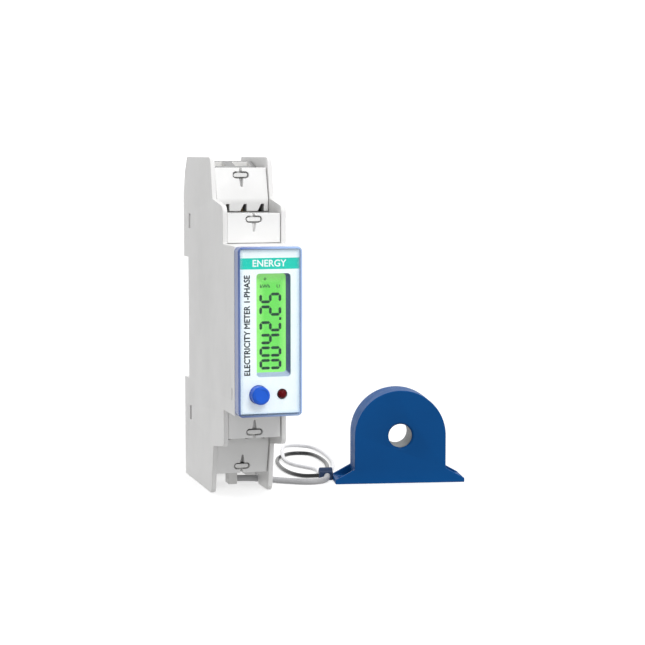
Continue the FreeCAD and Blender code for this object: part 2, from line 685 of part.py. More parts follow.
def face_carrier():
    """The frame behind the label, with four legs on the display board."""
    plate = slab("carrier_plate", (f"-({SIDE_HALF})", SIDE_HALF), (CARRIER_BACK, "depth_nose + 0.5"),
                 (f"face_mid - ({FACE_HALF})", f"face_mid + ({FACE_HALF})"))
    platform = label_area("carrier_platform", -0.1, ("depth_nose + 0.05", LABEL_BACK))
    legs = []
    for number, side in enumerate((-1, 1)):
        for end, sign in enumerate((-1, 1)):
            x = f"{side} * ({SIDE_HALF} - {LEG_HALF})"
            z = f"face_mid + {sign} * ({FACE_HALF} - {LEG_INSET})"
            legs.append(slab(f"carrier_leg_{number}_{end}", (f"{x} - {LEG_HALF}", f"{x} + {LEG_HALF}"),
                             (DISPLAY_BOARD_FRONT, f"{CARRIER_BACK} + {MERGE}"),
                             (f"{z} - {LEG_TALL}", f"{z} + {LEG_TALL}")))
    through = (f"{CARRIER_BACK} - 1", f"{LABEL_BACK} + 1")
    display = slab("carrier_display", ("lcd_left - bezel_wall", "lcd_right + bezel_wall"), through,
                   ("lcd_low - bezel_wall", "lcd_high + bezel_wall"))
    holes = [display] + small_holes("carrier_hole", through)
    return keep(cut("carrier_cut", fuse("carrier_whole", [plate, platform] + legs), holes), "face_carrier")


def lcd_bezel(throat):
    """The dark frame that lines the display's opening; it narrows towards the glass."""
    wall = "bezel_wall - 0.02"
    outer = slab("bezel_outer", (f"lcd_left - ({wall})", f"lcd_right + ({wall})"),
                 (LCD_FRONT, LABEL_BACK), (f"lcd_low - ({wall})", f"lcd_high + ({wall})"))
    return keep(cut("bezel_cut", outer, [throat]), "lcd_bezel")


SWITCH_HALF, SWITCH_BODY, SWITCH_TOP, PLUNGER_RADIUS = 2.2, 1.7, 2.0, 0.9
LAMP_FOOT_RIM, LAMP_FOOT = 0.35, 1.2


def display_parts():
    """The display glass, its light guide and the board that carries them."""
    across = (f"lcd_left - {LCD_MARGIN}", f"lcd_right + {LCD_MARGIN}")
    upright = (f"lcd_low - {LCD_MARGIN}", f"lcd_high + {LCD_MARGIN}")
    glass_back = f"{LCD_FRONT} - {LCD_THICK}"
    keep(slab("glass_box", across, (glass_back, LCD_FRONT), upright), "lcd_glass")
    keep(slab("light_box", across, (DISPLAY_BOARD_FRONT, glass_back), upright), "backlight")
    board = slab("display_board_box", (f"-({SIDE_HALF})", SIDE_HALF),
                 (DISPLAY_BOARD_BACK, DISPLAY_BOARD_FRONT),
                 (f"face_mid - ({FACE_HALF}) + joint_gap", f"face_mid + ({FACE_HALF}) - joint_gap"))
    keep(board, "display_board")


def tact_switch():
    """The small switch behind the button."""
    case = slab("switch_body", (f"button_x - {SWITCH_HALF}", f"button_x + {SWITCH_HALF}"),
                (DISPLAY_BOARD_FRONT, f"{DISPLAY_BOARD_FRONT} + {SWITCH_BODY}"),
                (f"button_z - {SWITCH_HALF}", f"button_z + {SWITCH_HALF}"))
    plunger = rod("switch_plunger", "y", PLUNGER_RADIUS, f"{DISPLAY_BOARD_FRONT} + {SWITCH_BODY} - {MERGE}",
                  f"{DISPLAY_BOARD_FRONT} + {SWITCH_TOP}", ("button_x", "button_z"))
    return keep(fuse("switch_whole", [case, plunger]), "tact_switch")


def pulse_lamp():
    """A domed lamp that stands on the display board and reaches into the window."""
    middle = ("led_x", "button_z")
    foot = rod("lamp_foot", "y", f"led_radius + {LAMP_FOOT_RIM}", DISPLAY_BOARD_FRONT,
               f"{DISPLAY_BOARD_FRONT} + {LAMP_FOOT}", middle)
    barrel = rod("lamp_barrel", "y", "led_radius", DISPLAY_BOARD_FRONT, LABEL_BACK, middle)
    dome = doc.addObject("Part::Sphere", "lamp_dome")
    bind(dome, Radius="led_radius")
    place(dome, "led_x", f"-({LABEL_BACK})", "button_z")
    return keep(fuse("lamp_whole", [foot, barrel, dome]), "pulse_lamp")


def push_button():
    """A turned cap with a shallow dish, kept in by the flange behind the carrier."""
    owner = body("button_turning")
    sketch = sketch_on(owner, "XY_Plane", "button_outline")
    face = f"{COVER_FRONT} + button_out"
    flange_back = f"{DISPLAY_BOARD_FRONT} + {SWITCH_TOP} + 0.05 + button_travel"
    flange_front = f"{CARRIER_BACK} - 0.1"
    polygon(sketch, [("0", f"-({flange_back})"), ("button_radius + button_flange", f"-({flange_back})"),
                     ("button_radius + button_flange", f"-({flange_front})"),
                     ("button_radius", f"-({flange_front})"), ("button_radius", f"-({face} - button_edge)"),
                     ("button_radius - button_edge", f"-({face})"),
                     ("button_radius - 2 * button_edge", f"-({face})"), ("0", f"-({face} - button_dish)")])
    turn = owner.newObject("PartDesign::Revolution", "button_turn")
    turn.Profile = sketch
    turn.ReferenceAxis = (sketch, ["V_Axis"])
    turn.Angle = 360
    doc.recompute()
    place(owner, "button_x", 0, "button_z")
    return keep(owner, "push_button")


# Boards and what stands on them ------------------------------------------------------------

BOARD_DEPTHS, BOARD_HEIGHTS = (12, 34), (17.6, 78.1)
BOARD_FORWARD_DEPTHS, BOARD_FORWARD_HEIGHTS = (33.9, 46.4), (27.2, 68.3)
FILM_TOP, FILM_DEPTHS, FILM_HEIGHTS = 3.2, (14, 26), (32, 48)
CAN_TOP, CAN_RADIUS, CAN_MIDDLE = 6.4, 4.0, (19.5, 62.0)
DISC_RADIUS, DISC_DEPTHS, DISC_MIDDLE = 4.2, (36.0, 39.0), (0.4, 58.6)
STEM_TOP, STEM_DEPTHS, STEM_HEIGHTS = -3.2, (37.2, 37.8), (57.6, 59.6)
CHIP_THICK, CHIP_DEPTHS, CHIP_HEIGHTS = 1.4, (31, 38), (38, 45)
COUPLER_THICK, COUPLER_DEPTHS, COUPLER_HEIGHTS = 3.5, (34.5, 39.5), (31, 36)
LINK_THICK, LINK_BACK, LINK_HEIGHTS = 2.5, 43.6, (46.0, 57.0)


def main_board():
    """The upright board along the left wall, slotted where the nearest contact bars pass it."""
    xs = (f"{BOARD_FACE_X} - board_thick", BOARD_FACE_X)
    rear = slab("board_rear", xs, BOARD_DEPTHS, BOARD_HEIGHTS)
    forward = slab("board_forward", xs, BOARD_FORWARD_DEPTHS, BOARD_FORWARD_HEIGHTS)
    slots = []
    for tier in TIERS:
        lower = f"{tier.floor} - {BAR_DROP} - joint_gap"
        slots.append(slab(tier.name + "_board_slot", (-10, 0),
                          (f"{tier.bar_front()} - {tier.bar_thick} - joint_gap",
                           f"{tier.bar_front()} + joint_gap"),
                          tier.heights(lower, f"{tier.floor} + 1")))
    return keep(cut("board_cut", fuse("board_whole", [rear, forward]), slots), "main_board")


def board_components():
    """Film capacitor, electrolytic can, varistor, metering chip and optocoupler on the board."""
    film = slab("film_capacitor", (BOARD_FACE_X, FILM_TOP), FILM_DEPTHS, FILM_HEIGHTS)
    can = rod("electrolytic_can", "x", CAN_RADIUS, BOARD_FACE_X, CAN_TOP, CAN_MIDDLE)
    disc = rod("varistor_disc", "y", DISC_RADIUS, DISC_DEPTHS[0], DISC_DEPTHS[1], DISC_MIDDLE)
    stem = slab("varistor_stem", (BOARD_FACE_X, STEM_TOP), STEM_DEPTHS, STEM_HEIGHTS)
    chip = slab("metering_chip", (BOARD_FACE_X, BOARD_FACE_X + CHIP_THICK), CHIP_DEPTHS, CHIP_HEIGHTS)
    coupler = slab("optocoupler", (BOARD_FACE_X, BOARD_FACE_X + COUPLER_THICK), COUPLER_DEPTHS,
                   COUPLER_HEIGHTS)
    return keep(fuse("components", [film, can, fuse("varistor", [disc, stem]), chip, coupler]),
                "board_components")


def board_link():
    """The pin header that joins the main board to the display board."""
    strip = slab("link_strip", (BOARD_FACE_X, BOARD_FACE_X + LINK_THICK), (LINK_BACK, DISPLAY_BOARD_BACK),
                 LINK_HEIGHTS)
    return keep(strip, "board_link")


# Rail clip -----------------------------------------------------------------------------------

CLIP_FOOT, CLIP_TAB_HOLE, CLIP_TAB_MID = 3.3, 1.5, 6.5
CLIP_JAW_HEIGHTS = (1.6, 1.3)
CLIP_SEAT_HALF, CLIP_SEAT_FRONT, CLIP_SEAT_THICK = 2.0, 6.8, 1.4
SPRING_WIRE, SPRING_RADIUS, SPRING_TURNS, SPRING_DEPTH = 0.25, 1.2, 6, 5.45


def rail_clip():
    """The sliding jaw that holds the rail's lower edge, with a pull tab at its foot."""
    across = ("-clip_half", "clip_half")
    plate = slab("clip_plate", across, (CLIP_BACK, CLIP_FRONT), (CLIP_FOOT, f"{RAIL_LOW} + 0.2"))
    jaw = slab("clip_jaw", across, (CLIP_BACK, CLIP_FRONT + CLIP_JAW_OUT),
               (f"{RAIL_LOW} - {CLIP_JAW_HEIGHTS[0]}", f"{RAIL_LOW} + {CLIP_JAW_HEIGHTS[1]}"))
    seat = slab("clip_seat", (-CLIP_SEAT_HALF, CLIP_SEAT_HALF), (CLIP_FRONT - MERGE, CLIP_SEAT_FRONT),
                (SPRING_HIGH, SPRING_HIGH + CLIP_SEAT_THICK))
    window = rod("clip_window", "y", CLIP_TAB_HOLE, 0, CLIP_FRONT + 1, (0, CLIP_TAB_MID))
    return keep(cut("clip_cut", fuse("clip_whole", [plate, jaw, seat]), [window]), "rail_clip")


def clip_spring():
    """A compression spring between the shells' shelf and the clip's seat."""
    rise = SPRING_HIGH - SPRING_LOW - 2 * SPRING_WIRE
    pitch = rise / SPRING_TURNS
    helix = Part.makeHelix(pitch, rise, SPRING_RADIUS)
    start = helix.Vertexes[0].Point
    slope = pitch / (2 * math.pi * SPRING_RADIUS)
    ring = Part.makeCircle(SPRING_WIRE, start, FreeCAD.Vector(0, 1, slope))
    thing = doc.addObject("Part::Feature", "spring_coil")
    thing.Shape = Part.Wire(helix.Edges).makePipeShell([Part.Wire([ring])], True, True)
    foot = FreeCAD.Vector(0, -SPRING_DEPTH, SPRING_LOW + SPRING_WIRE)
    thing.Placement = FreeCAD.Placement(foot, FreeCAD.Rotation())
    return keep(thing, "clip_spring")


# Current transformer: built about its own front face, then turned and set down ----------------

CT_FRAME = FreeCAD.Placement(FreeCAD.Vector(SIZES["ct_x"], -SIZES["ct_depth"], 0),
                             FreeCAD.Rotation(FreeCAD.Vector(0, 0, 1), SIZES["ct_turn"]))


def ct_slab(name, xs, depths, zs):
    """A box whose depths run back from the transformer's front face."""
    backwards = (f"-({depths[1]})", f"-({depths[0]})")
    return slab(name, xs, backwards, zs)


def ct_rod(name, radius, start, end, across):
    return rod(name, "y", radius, f"-({end})", f"-({start})", across)


def ct_set(thing, node):
    keep(thing, node)
    thing.Placement = CT_FRAME
    return thing


def ct_arch(name, inset, depths):
    half = f"ct_width / 2 - ({inset})"
    crown = "ct_height - ct_width / 2"
    box = ct_slab(name + "_box", (f"-({half})", half), depths, (inset, crown))
    top = ct_rod(name + "_top", half, depths[0], depths[1], (0, crown))
    return fuse(name, [box, top])


def ct_foot(side):
    """A foot with its hole between two triangular gussets."""
    name = "ct_foot_left" if side < 0 else "ct_foot_right"
    inner, outer = "ct_width / 2 - 0.5", "ct_foot_span / 2"
    xs = (inner, outer) if side > 0 else (f"-({outer})", f"-({inner})")
    plate = ct_slab(name + "_plate", xs, (0, "ct_thick"), (0, "ct_foot_thick"))
    pieces = [plate]
    for number, start in enumerate(("0", "ct_thick - ct_gusset_thick")):
        owner = body(f"{name}_gusset_{number}_body")
        sketch = sketch_on(owner, "XZ_Plane", f"{name}_gusset_{number}_outline")
        near = f"{side} * ({inner})"
        corner = f"{side} * (ct_width / 2)"
        tip = f"{side} * ({outer})"
        polygon(sketch, [(near, "0"), (tip, "0"), (tip, "ct_foot_thick"), (corner, "ct_gusset"),
                         (near, "ct_gusset")])
        pad(owner, sketch, "ct_gusset_thick", f"{name}_gusset_{number}_pad")
        doc.recompute()
        place(owner, 0, f"{start} + ct_gusset_thick", 0)
        pieces.append(owner)
    return pieces


CORE_OUTER, CORE_INNER, CORE_DEPTHS = 8.6, 6.0, (3.2, 7.6)
TURNS_OUTER, TURNS_INNER, TURNS_DEPTHS = 10.2, 4.8, (1.6, 9.2)
BACK_PLATE_THICK, BACK_PLATE_INSET = 1.4, 0.2


def ct_ring(name, outer, inner, depths):
    """A ring about the transformer's bore."""
    blank = ct_rod(name + "_blank", outer, depths[0], depths[1], (0, "ct_axis"))
    eye = ct_rod(name + "_eye", inner, f"{depths[0]} - 1", f"{depths[1]} + 1", (0, "ct_axis"))
    return cut(name, blank, [eye])


def ct_bore_edge():
    """A cone that eases the rim of the bore in the case's front."""
    cone = doc.addObject("Part::Cone", "ct_bore_cone")
    cone.Placement.Rotation = FreeCAD.Rotation(FreeCAD.Vector(1, 0, 0), -90)
    bind(cone, Radius1=f"ct_bore + ct_bore_edge + {MERGE}", Radius2="ct_bore",
         Height=f"ct_bore_edge + {MERGE}")
    return place(cone, 0, -MERGE, "ct_axis")


def ct_case():
    """The moulded arch, open at its back, with its feet."""
    blank = fuse("ct_blank", [ct_arch("ct_outside", "0", ("0", "ct_thick"))] + ct_foot(-1) + ct_foot(1))
    inside = ct_arch("ct_inside", "ct_wall", ("ct_wall", "ct_thick + 1"))
    bore = ct_rod("ct_bore_cut", "ct_bore", -1, "ct_wall + 1", (0, "ct_axis"))
    holes = [rod(f"ct_foot_hole_{number}", "z", "ct_foot_hole", -1, "ct_gusset + 1",
                 (f"{side} * ct_foot_pitch / 2", "-(ct_thick / 2)")) for number, side in enumerate((-1, 1))]
    ct_set(cut("ct_case_cut", blank, [inside, bore, ct_bore_edge()] + holes), "ct_case")


def current_transformer():
    """The case, the plate that closes its back, the bore's lining, the core and its winding."""
    ct_case()
    plate_depths = (f"ct_thick - {BACK_PLATE_INSET} - {BACK_PLATE_THICK}", f"ct_thick - {BACK_PLATE_INSET}")
    plate = ct_arch("ct_back_blank", "ct_wall + 0.05", plate_depths)
    eye = ct_rod("ct_back_bore", "ct_bore + ct_liner", -1, "ct_thick + 1", (0, "ct_axis"))
    ct_set(cut("ct_back_cut", plate, [eye]), "ct_back_plate")
    bush_depths = ("ct_wall + 0.02", "ct_thick - 0.1")
    ct_set(ct_ring("ct_bush", "ct_bore + ct_liner", "ct_bore", bush_depths), "ct_bore_bush")
    ct_set(ct_ring("ct_core_ring", CORE_OUTER, CORE_INNER, CORE_DEPTHS), "ct_core")
    turns = ct_ring("ct_turns", TURNS_OUTER, TURNS_INNER, TURNS_DEPTHS)
    room = ct_ring("ct_room", CORE_OUTER, CORE_INNER, CORE_DEPTHS)
    ct_set(cut("ct_turns_cut", turns, [room]), "ct_winding")


BOOT_LENGTH, BOOT_DEPTHS, BOOT_TALL = 3.9, (6.8, 11.0), 2.6
BOOT_CAP_RADIUS, BOOT_CAP_MID = 1.2, 2.3
GLAND_HALF, GLAND_DEPTHS, GLAND_FOOT = 1.3, (19.6, 23.8), 0.2


def lead_boot():
    """A rubber boot at the end of the left foot, where the leads part and join."""
    along = (f"-(ct_foot_span / 2 + {BOOT_LENGTH})", "-(ct_foot_span / 2)")
    block = ct_slab("boot_block", along, BOOT_DEPTHS, (0, BOOT_TALL))
    middle = -(BOOT_DEPTHS[0] + BOOT_DEPTHS[1]) / 2
    cap = rod("boot_cap", "x", BOOT_CAP_RADIUS, along[0], along[1], (middle, BOOT_CAP_MID))
    ct_set(fuse("boot_whole", [block, cap]), "lead_boot")


def meter_gland():
    """The grip under the lower terminals that the jacketed lead leaves."""
    owner = body("gland_body")
    sketch = sketch_on(owner, "YZ_Plane", "gland_outline")
    back, front = GLAND_DEPTHS
    top = "face_mid - outer_end"
    back_top = f"{top} - hood_rise * (hood_front - {back}) / (hood_front - hood_back)"
    polygon(sketch, profile([(back, GLAND_FOOT), (front, GLAND_FOOT), (front, top), ("hood_front", top),
                             (back, back_top)]))
    feature = pad(owner, sketch, 2 * GLAND_HALF, "gland_pad")
    feature.Midplane = True
    doc.recompute()
    return keep(owner, "meter_lead_gland")


# Leads on the surface that the meter stands on -------------------------------------------------

def tube(node, route, radius):
    """A round lead along straight runs joined by tangent arcs."""
    points = [FreeCAD.Vector(*point) for point in route]
    edges = []
    here = points[0]
    radii = []
    for before, corner, after in zip(points, points[1:], points[2:]):
        arriving = (corner - before).normalize()
        leaving = (after - corner).normalize()
        half_turn = arriving.getAngle(leaving) / 2
        reach = 0.45 * min((corner - before).Length, (after - corner).Length)
        bend = reach / math.tan(half_turn)
        start = corner - arriving * reach
        end = corner + leaving * reach
        inward = (leaving - arriving).normalize()
        centre = corner + inward * (bend / math.cos(half_turn))
        middle = centre - inward * bend
        edges.append(Part.LineSegment(here, start).toShape())
        edges.append(Part.Arc(start, middle, end).toShape())
        here = end
        radii.append(bend)
    edges.append(Part.LineSegment(here, points[-1]).toShape())
    path = Part.Wire(edges)
    section = Part.Wire([Part.makeCircle(radius, points[0], points[1] - points[0])])
    solid = path.makePipeShell([section], True, False)
    expected = math.pi * radius ** 2 * path.Length
    print(node, "length", round(path.Length, 1), "radii", [round(bend, 1) for bend in radii],
          "volume ratio", round(solid.Volume / expected, 4))
    thing = doc.addObject("Part::Feature", node + "_tube")
    thing.Shape = solid
    return keep(thing, node)


# Each route runs from the meter towards the transformer's boot and, for the cores, round their
# loop and back to it; the white core passes over the black one in a low hump.
JACKET_ROUTE = [
    (0.9, -21.7, 1.6), (4.9, -21.6, 1.5), (9.2, -22.4, 1.2), (12.9, -24.5, 0.95), (16.4, -27.2, 0.95),
    (19.8, -29.3, 0.95), (22.6, -29.75, 0.95), (25.2, -28.85, 0.95), (27.15, -26.85, 1.05),
    (27.95, -24.2, 1.3),
]
BLACK_ROUTE = [
    (26.7, -21.6, 1.15), (23.3, -19.7, 0.7), (20.9, -15.9, 0.65), (19.9, -11.0, 0.65), (19.7, -5.0, 0.65),
    (20.3, 1.8, 0.65), (21.5, 8.6, 0.65), (23.9, 15.2, 0.65), (28.0, 20.4, 0.65), (31.3, 21.6, 0.65),
    (34.5, 20.0, 0.65), (35.6, 16.9, 0.65), (35.9, 12.2, 0.65), (35.7, 6.4, 0.65), (34.9, 0.2, 0.65),
    (33.4, -6.2, 0.65), (31.2, -12.0, 0.65), (29.2, -16.4, 0.85), (28.4, -20.1, 1.2),
]
WHITE_ROUTE = [
    (27.1, -20.1, 1.2), (27.7, -16.1, 0.8), (28.9, -12.0, 0.65), (29.0, -8.0, 0.65), (27.2, -4.2, 0.65),
    (25.2, 0.0, 0.65), (24.1, 5.2, 0.65), (24.3, 11.0, 0.85), (25.3, 16.2, 1.8), (26.5, 20.4, 2.35),
    (28.0, 24.6, 2.3), (29.9, 28.4, 1.9), (32.2, 31.2, 1.5), (35.2, 32.2, 1.2), (38.2, 30.8, 0.95),
    (39.3, 27.6, 0.8), (39.6, 23.2, 0.7), (39.45, 17.9, 0.65), (39.0, 12.2, 0.65), (37.9, 4.8, 0.65),
    (36.3, -2.2, 0.65), (34.1, -8.8, 0.65), (31.7, -15.0, 0.75), (29.8, -20.3, 1.2),
]


def lead_parts():
    tube("lead_jacket", JACKET_ROUTE, SIZES["jacket_radius"])
    tube("lead_black", BLACK_ROUTE, SIZES["core_radius"])
    tube("lead_white", WHITE_ROUTE, SIZES["core_radius"])


for side in (-1, 1):
    shell(side)
for tier in TIERS:
    terminal_block(tier)
    terminal_cover(tier)
    contact_bars(tier)
    for number, x in enumerate(tier.places()):
        terminal_screw(tier, number, x)
        cage_clamp(tier, number, x)
throat = display_throat()
face_label(throat)
front_window()
face_carrier()
lcd_bezel(throat)
display_parts()
tact_switch()
pulse_lamp()
push_button()
main_board()
board_components()
board_link()
rail_clip()
clip_spring()
current_transformer()
lead_boot()
meter_gland()
lead_parts()
doc.recompute()

LEADS = ("lead_jacket", "lead_black", "lead_white")


def set_down():
    """Move every sub-part so that the origin is under the middle of meter and transformer."""
    box = FreeCAD.BoundBox()
    for thing in parts:
        if thing.Label not in LEADS:
            box.add(thing.Shape.optimalBoundingBox())
    middle = FreeCAD.Vector(box.Center.x, box.Center.y, box.ZMin)
    for thing in parts:
        bound = {path.lstrip("."): text for path, text in thing.ExpressionEngine}
        if "Placement.Base.x" in bound:
            for axis, shift in zip("xyz", middle):
                path = f"Placement.Base.{axis}"
                thing.setExpression(path, f"({bound[path]}) - ({shift})")
        else:
            thing.Placement.Base = thing.Placement.Base - middle
    doc.recompute()
    return middle


middle = set_down()
print("origin under", [round(number, 4) for number in middle])

for thing in doc.Objects:
    assert not {"Invalid", "Error"} & set(thing.State), thing.Name + " failed"
os.makedirs("parts", exist_ok=True)
for thing in parts:
    assert not thing.Shape.isNull() and thing.Shape.isValid(), thing.Label + " is not a valid shape"
    thing.Shape.exportStep(f"parts/{thing.Label}.step")
print(len(parts), "nodes")
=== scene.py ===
import json
import math

import bmesh
import bpy
from mathutils import Matrix, Vector

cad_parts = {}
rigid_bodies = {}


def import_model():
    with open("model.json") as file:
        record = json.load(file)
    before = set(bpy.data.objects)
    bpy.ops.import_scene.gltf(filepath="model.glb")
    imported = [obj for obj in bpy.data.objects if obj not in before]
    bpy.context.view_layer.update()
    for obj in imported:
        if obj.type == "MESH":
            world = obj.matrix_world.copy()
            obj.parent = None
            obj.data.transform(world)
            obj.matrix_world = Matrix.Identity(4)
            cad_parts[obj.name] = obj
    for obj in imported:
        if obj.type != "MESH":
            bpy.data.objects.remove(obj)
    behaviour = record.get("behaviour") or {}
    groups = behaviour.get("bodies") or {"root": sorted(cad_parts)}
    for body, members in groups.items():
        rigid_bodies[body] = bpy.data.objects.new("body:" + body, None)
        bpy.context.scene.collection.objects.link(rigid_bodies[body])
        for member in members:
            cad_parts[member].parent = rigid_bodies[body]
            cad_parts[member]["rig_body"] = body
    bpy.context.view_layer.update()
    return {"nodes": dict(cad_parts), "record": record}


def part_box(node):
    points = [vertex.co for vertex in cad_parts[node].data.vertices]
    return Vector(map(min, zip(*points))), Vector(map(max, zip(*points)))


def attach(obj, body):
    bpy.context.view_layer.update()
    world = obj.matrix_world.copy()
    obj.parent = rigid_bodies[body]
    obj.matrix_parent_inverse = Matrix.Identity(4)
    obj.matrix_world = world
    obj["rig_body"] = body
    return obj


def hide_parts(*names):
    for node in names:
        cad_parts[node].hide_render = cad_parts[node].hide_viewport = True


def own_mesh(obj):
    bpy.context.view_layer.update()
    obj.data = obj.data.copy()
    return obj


# Looks of a one-module energy meter with its current transformer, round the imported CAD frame.
# Lengths are in metres; MM turns millimetres into them.

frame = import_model()

MM = 0.001
MID_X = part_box("left_shell")[1].x
REAR_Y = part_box("left_shell")[1].y
TIERS = ("upper_outer", "upper_inner", "lower_inner", "lower_outer")


def at(x, depth, z):
    """A point from X off the module's middle plane, depth off its rear plane and height, in mm."""
    return Vector((MID_X + x * MM, REAR_Y - depth * MM, z * MM))


def along_route(points):
    """A lead's route, given in mm off the module's middle and rear planes, in the row frame."""
    return [Vector((MID_X + x * MM, REAR_Y + y * MM, z * MM)) for x, y, z in points]


# Camera ---------------------------------------------------------------------------------------

CAMERA_X, CAMERA_DEPTH, CAMERA_Z = -120.6, 526.4, 94.6
CAMERA_YAW, CAMERA_PITCH = 16.33, 5.3
CAMERA_LENS = 102.03
SENSOR_WIDTH = 36.0
NEAREST, FARTHEST = 0.01, 20.0


def make_camera():
    """A long lens that looks at the meter from its front left, a little from above."""
    data = bpy.data.cameras.new("camera")
    data.lens = CAMERA_LENS
    data.sensor_width = SENSOR_WIDTH
    data.clip_start = NEAREST
    data.clip_end = FARTHEST
    camera = bpy.data.objects.new("camera", data)
    bpy.context.scene.collection.objects.link(camera)
    camera.location = at(CAMERA_X, CAMERA_DEPTH, CAMERA_Z)
    camera.rotation_euler = (math.radians(90 - CAMERA_PITCH), 0, math.radians(-CAMERA_YAW))
    bpy.context.scene.camera = camera


# Materials --------------------------------------------------------------------------------------

# Noise scales, in cycles per metre: slow drifts of colour, patches of gloss and fine grain.
DRIFT_SCALE, GLOSS_SCALE, GRAIN_SCALE = 55.0, 320.0, 2600.0
NOISE_LOW, NOISE_HIGH = 0.3, 0.7
# Where a surface's pointiness starts and ends the painted light on its outer edges.
EDGE_START, EDGE_END = 0.51, 0.62


class Finish:
    """A Principled material whose colour, roughness and relief come from procedural nodes."""

    def __init__(self, name, **sockets):
        self.material = bpy.data.materials.new(name)
        self.material.use_nodes = True
        self.tree = self.material.node_tree
        self.shader = self.tree.nodes["Principled BSDF"]
        for socket, value in sockets.items():
            self.shader.inputs[socket.replace("_", " ")].default_value = value

    def node(self, kind, **values):
        """A node, with its settings and its sockets' constants."""
        made = self.tree.nodes.new(kind)
        for name, value in values.items():
            if name in made.bl_rna.properties:
                setattr(made, name, value)
            else:
                made.inputs[name.replace("_", " ")].default_value = value
        return made

    def join(self, start, end):
        """Link an output to an input."""
        self.tree.links.new(start, end)

    def place(self):
        """The place of the shaded point in its piece's own space."""
        return self.node("ShaderNodeTexCoord").outputs["Object"]

    def noise(self, scale, detail=2.0, rough=0.5, stretch=None):
        """Noise in the piece's own space; stretch squeezes it along the axes, as brushing does."""
        made = self.node("ShaderNodeTexNoise", Scale=scale, Detail=detail, Roughness=rough)
        start = self.place()
        if stretch:
            turned = self.node("ShaderNodeMapping")
            turned.inputs["Scale"].default_value = stretch
            self.join(start, turned.inputs["Vector"])
            start = turned.outputs["Vector"]
        self.join(start, made.inputs["Vector"])
        return made.outputs["Fac"]

    def ramp(self, value, low, high, start=0.35, end=0.65):
        """Two colours, mixed as a value goes from start to end."""
        made = self.node("ShaderNodeValToRGB")
        made.color_ramp.elements[0].position = start
        made.color_ramp.elements[1].position = end
        made.color_ramp.elements[0].color = (*low, 1.0)
        made.color_ramp.elements[1].color = (*high, 1.0)
        self.join(value, made.inputs["Fac"])
        return made.outputs["Color"]

    def spread(self, value, low, high):
        """A noise's middle range, stretched to run from low to high."""
        made = self.node("ShaderNodeMapRange")
        made.inputs["From Min"].default_value = NOISE_LOW
        made.inputs["From Max"].default_value = NOISE_HIGH
        made.inputs["To Min"].default_value = low
        made.inputs["To Max"].default_value = high
        self.join(value, made.inputs["Value"])
        return made.outputs["Result"]

    def bump(self, value, depth, strength=1.0):
        """Relief as deep as depth, in metres."""
        made = self.node("ShaderNodeBump", Strength=strength, Distance=depth)
        self.join(value, made.inputs["Height"])
        self.join(made.outputs["Normal"], self.shader.inputs["Normal"])

    def painted_edge_tone(self, colour, painted_edge_colour):
        """A colour that turns into another on the outer edges: painted light on the corners, a painted
        highlight where the other colour is lighter and painted shade where it is darker.
        """
        made = self.node("ShaderNodeNewGeometry")
        edges = self.ramp(made.outputs["Pointiness"], (0, 0, 0), (1, 1, 1), EDGE_START, EDGE_END)
        mix = self.node("ShaderNodeMix", data_type="RGBA")
        self.join(edges, mix.inputs["Factor"])
        self.join(colour, mix.inputs["A"])
        mix.inputs["B"].default_value = (*painted_edge_colour, 1.0)
        return mix.outputs["Result"]


def shade(colour, factor):
    """A colour made lighter or darker."""
    return tuple(min(1.0, part * factor) for part in colour)


def plastic(name, colour, rough=0.42, grain=0.00001, drift=0.05, painted_edge=1.12, **sockets):
    """Moulded plastic: a fine spark texture, slow drifts of colour, patches of gloss and painted light on its
    outer edges, a painted highlight where the edge factor is above 1 and painted shade where it is below.
    """
    made = Finish(name, **sockets)
    slow = made.noise(DRIFT_SCALE, 3.0)
    tone = made.ramp(slow, shade(colour, 1 - drift), shade(colour, 1 + drift * 0.5))
    # Painted light: the outer edges take a lighter colour as a painted highlight, or a darker one as painted
    # shade when the edge factor is below 1.
    made.join(made.painted_edge_tone(tone, shade(colour, painted_edge)), made.shader.inputs["Base Color"])
    made.join(made.spread(made.noise(GLOSS_SCALE, 3.0), rough - 0.05, rough + 0.07),
              made.shader.inputs["Roughness"])
    made.bump(made.noise(GRAIN_SCALE, 3.0, 0.6), grain)
    return made.material


def metal(name, colour, rough, stretch, grain=0.000004):
    """Plated or plain metal with tool marks along one direction and painted highlights on its outer edges."""
    made = Finish(name, Metallic=1.0)
    lines = made.noise(900.0, 3.0, 0.6, stretch)
    tone = made.ramp(made.noise(240.0, 4.0), shade(colour, 0.82), shade(colour, 1.08))
    # Painted highlight: the outer edges are made lighter.
    made.join(made.painted_edge_tone(tone, shade(colour, 1.35)), made.shader.inputs["Base Color"])
    made.join(made.spread(lines, rough - 0.06, rough + 0.12), made.shader.inputs["Roughness"])
    made.bump(lines, grain)
    return made.material


def circuit_board():
    """Green solder mask over fine tracks that run along both directions of the board."""
    made = Finish("circuit_board_finish", Coat_Weight=0.3, Coat_Roughness=0.2)
    tracks = made.node("ShaderNodeTexBrick", Scale=260.0)
    tracks.inputs["Color1"].default_value = (0.006, 0.11, 0.045, 1)
    tracks.inputs["Color2"].default_value = (0.009, 0.15, 0.06, 1)
    tracks.inputs["Mortar"].default_value = (0.03, 0.26, 0.10, 1)
    tracks.inputs["Mortar Size"].default_value = 0.06
    made.join(made.place(), tracks.inputs["Vector"])
    made.join(tracks.outputs["Color"], made.shader.inputs["Base Color"])
    made.join(made.spread(made.noise(400.0), 0.3, 0.45), made.shader.inputs["Roughness"])
    made.bump(tracks.outputs["Fac"], 0.00003, 0.4)
    return made.material


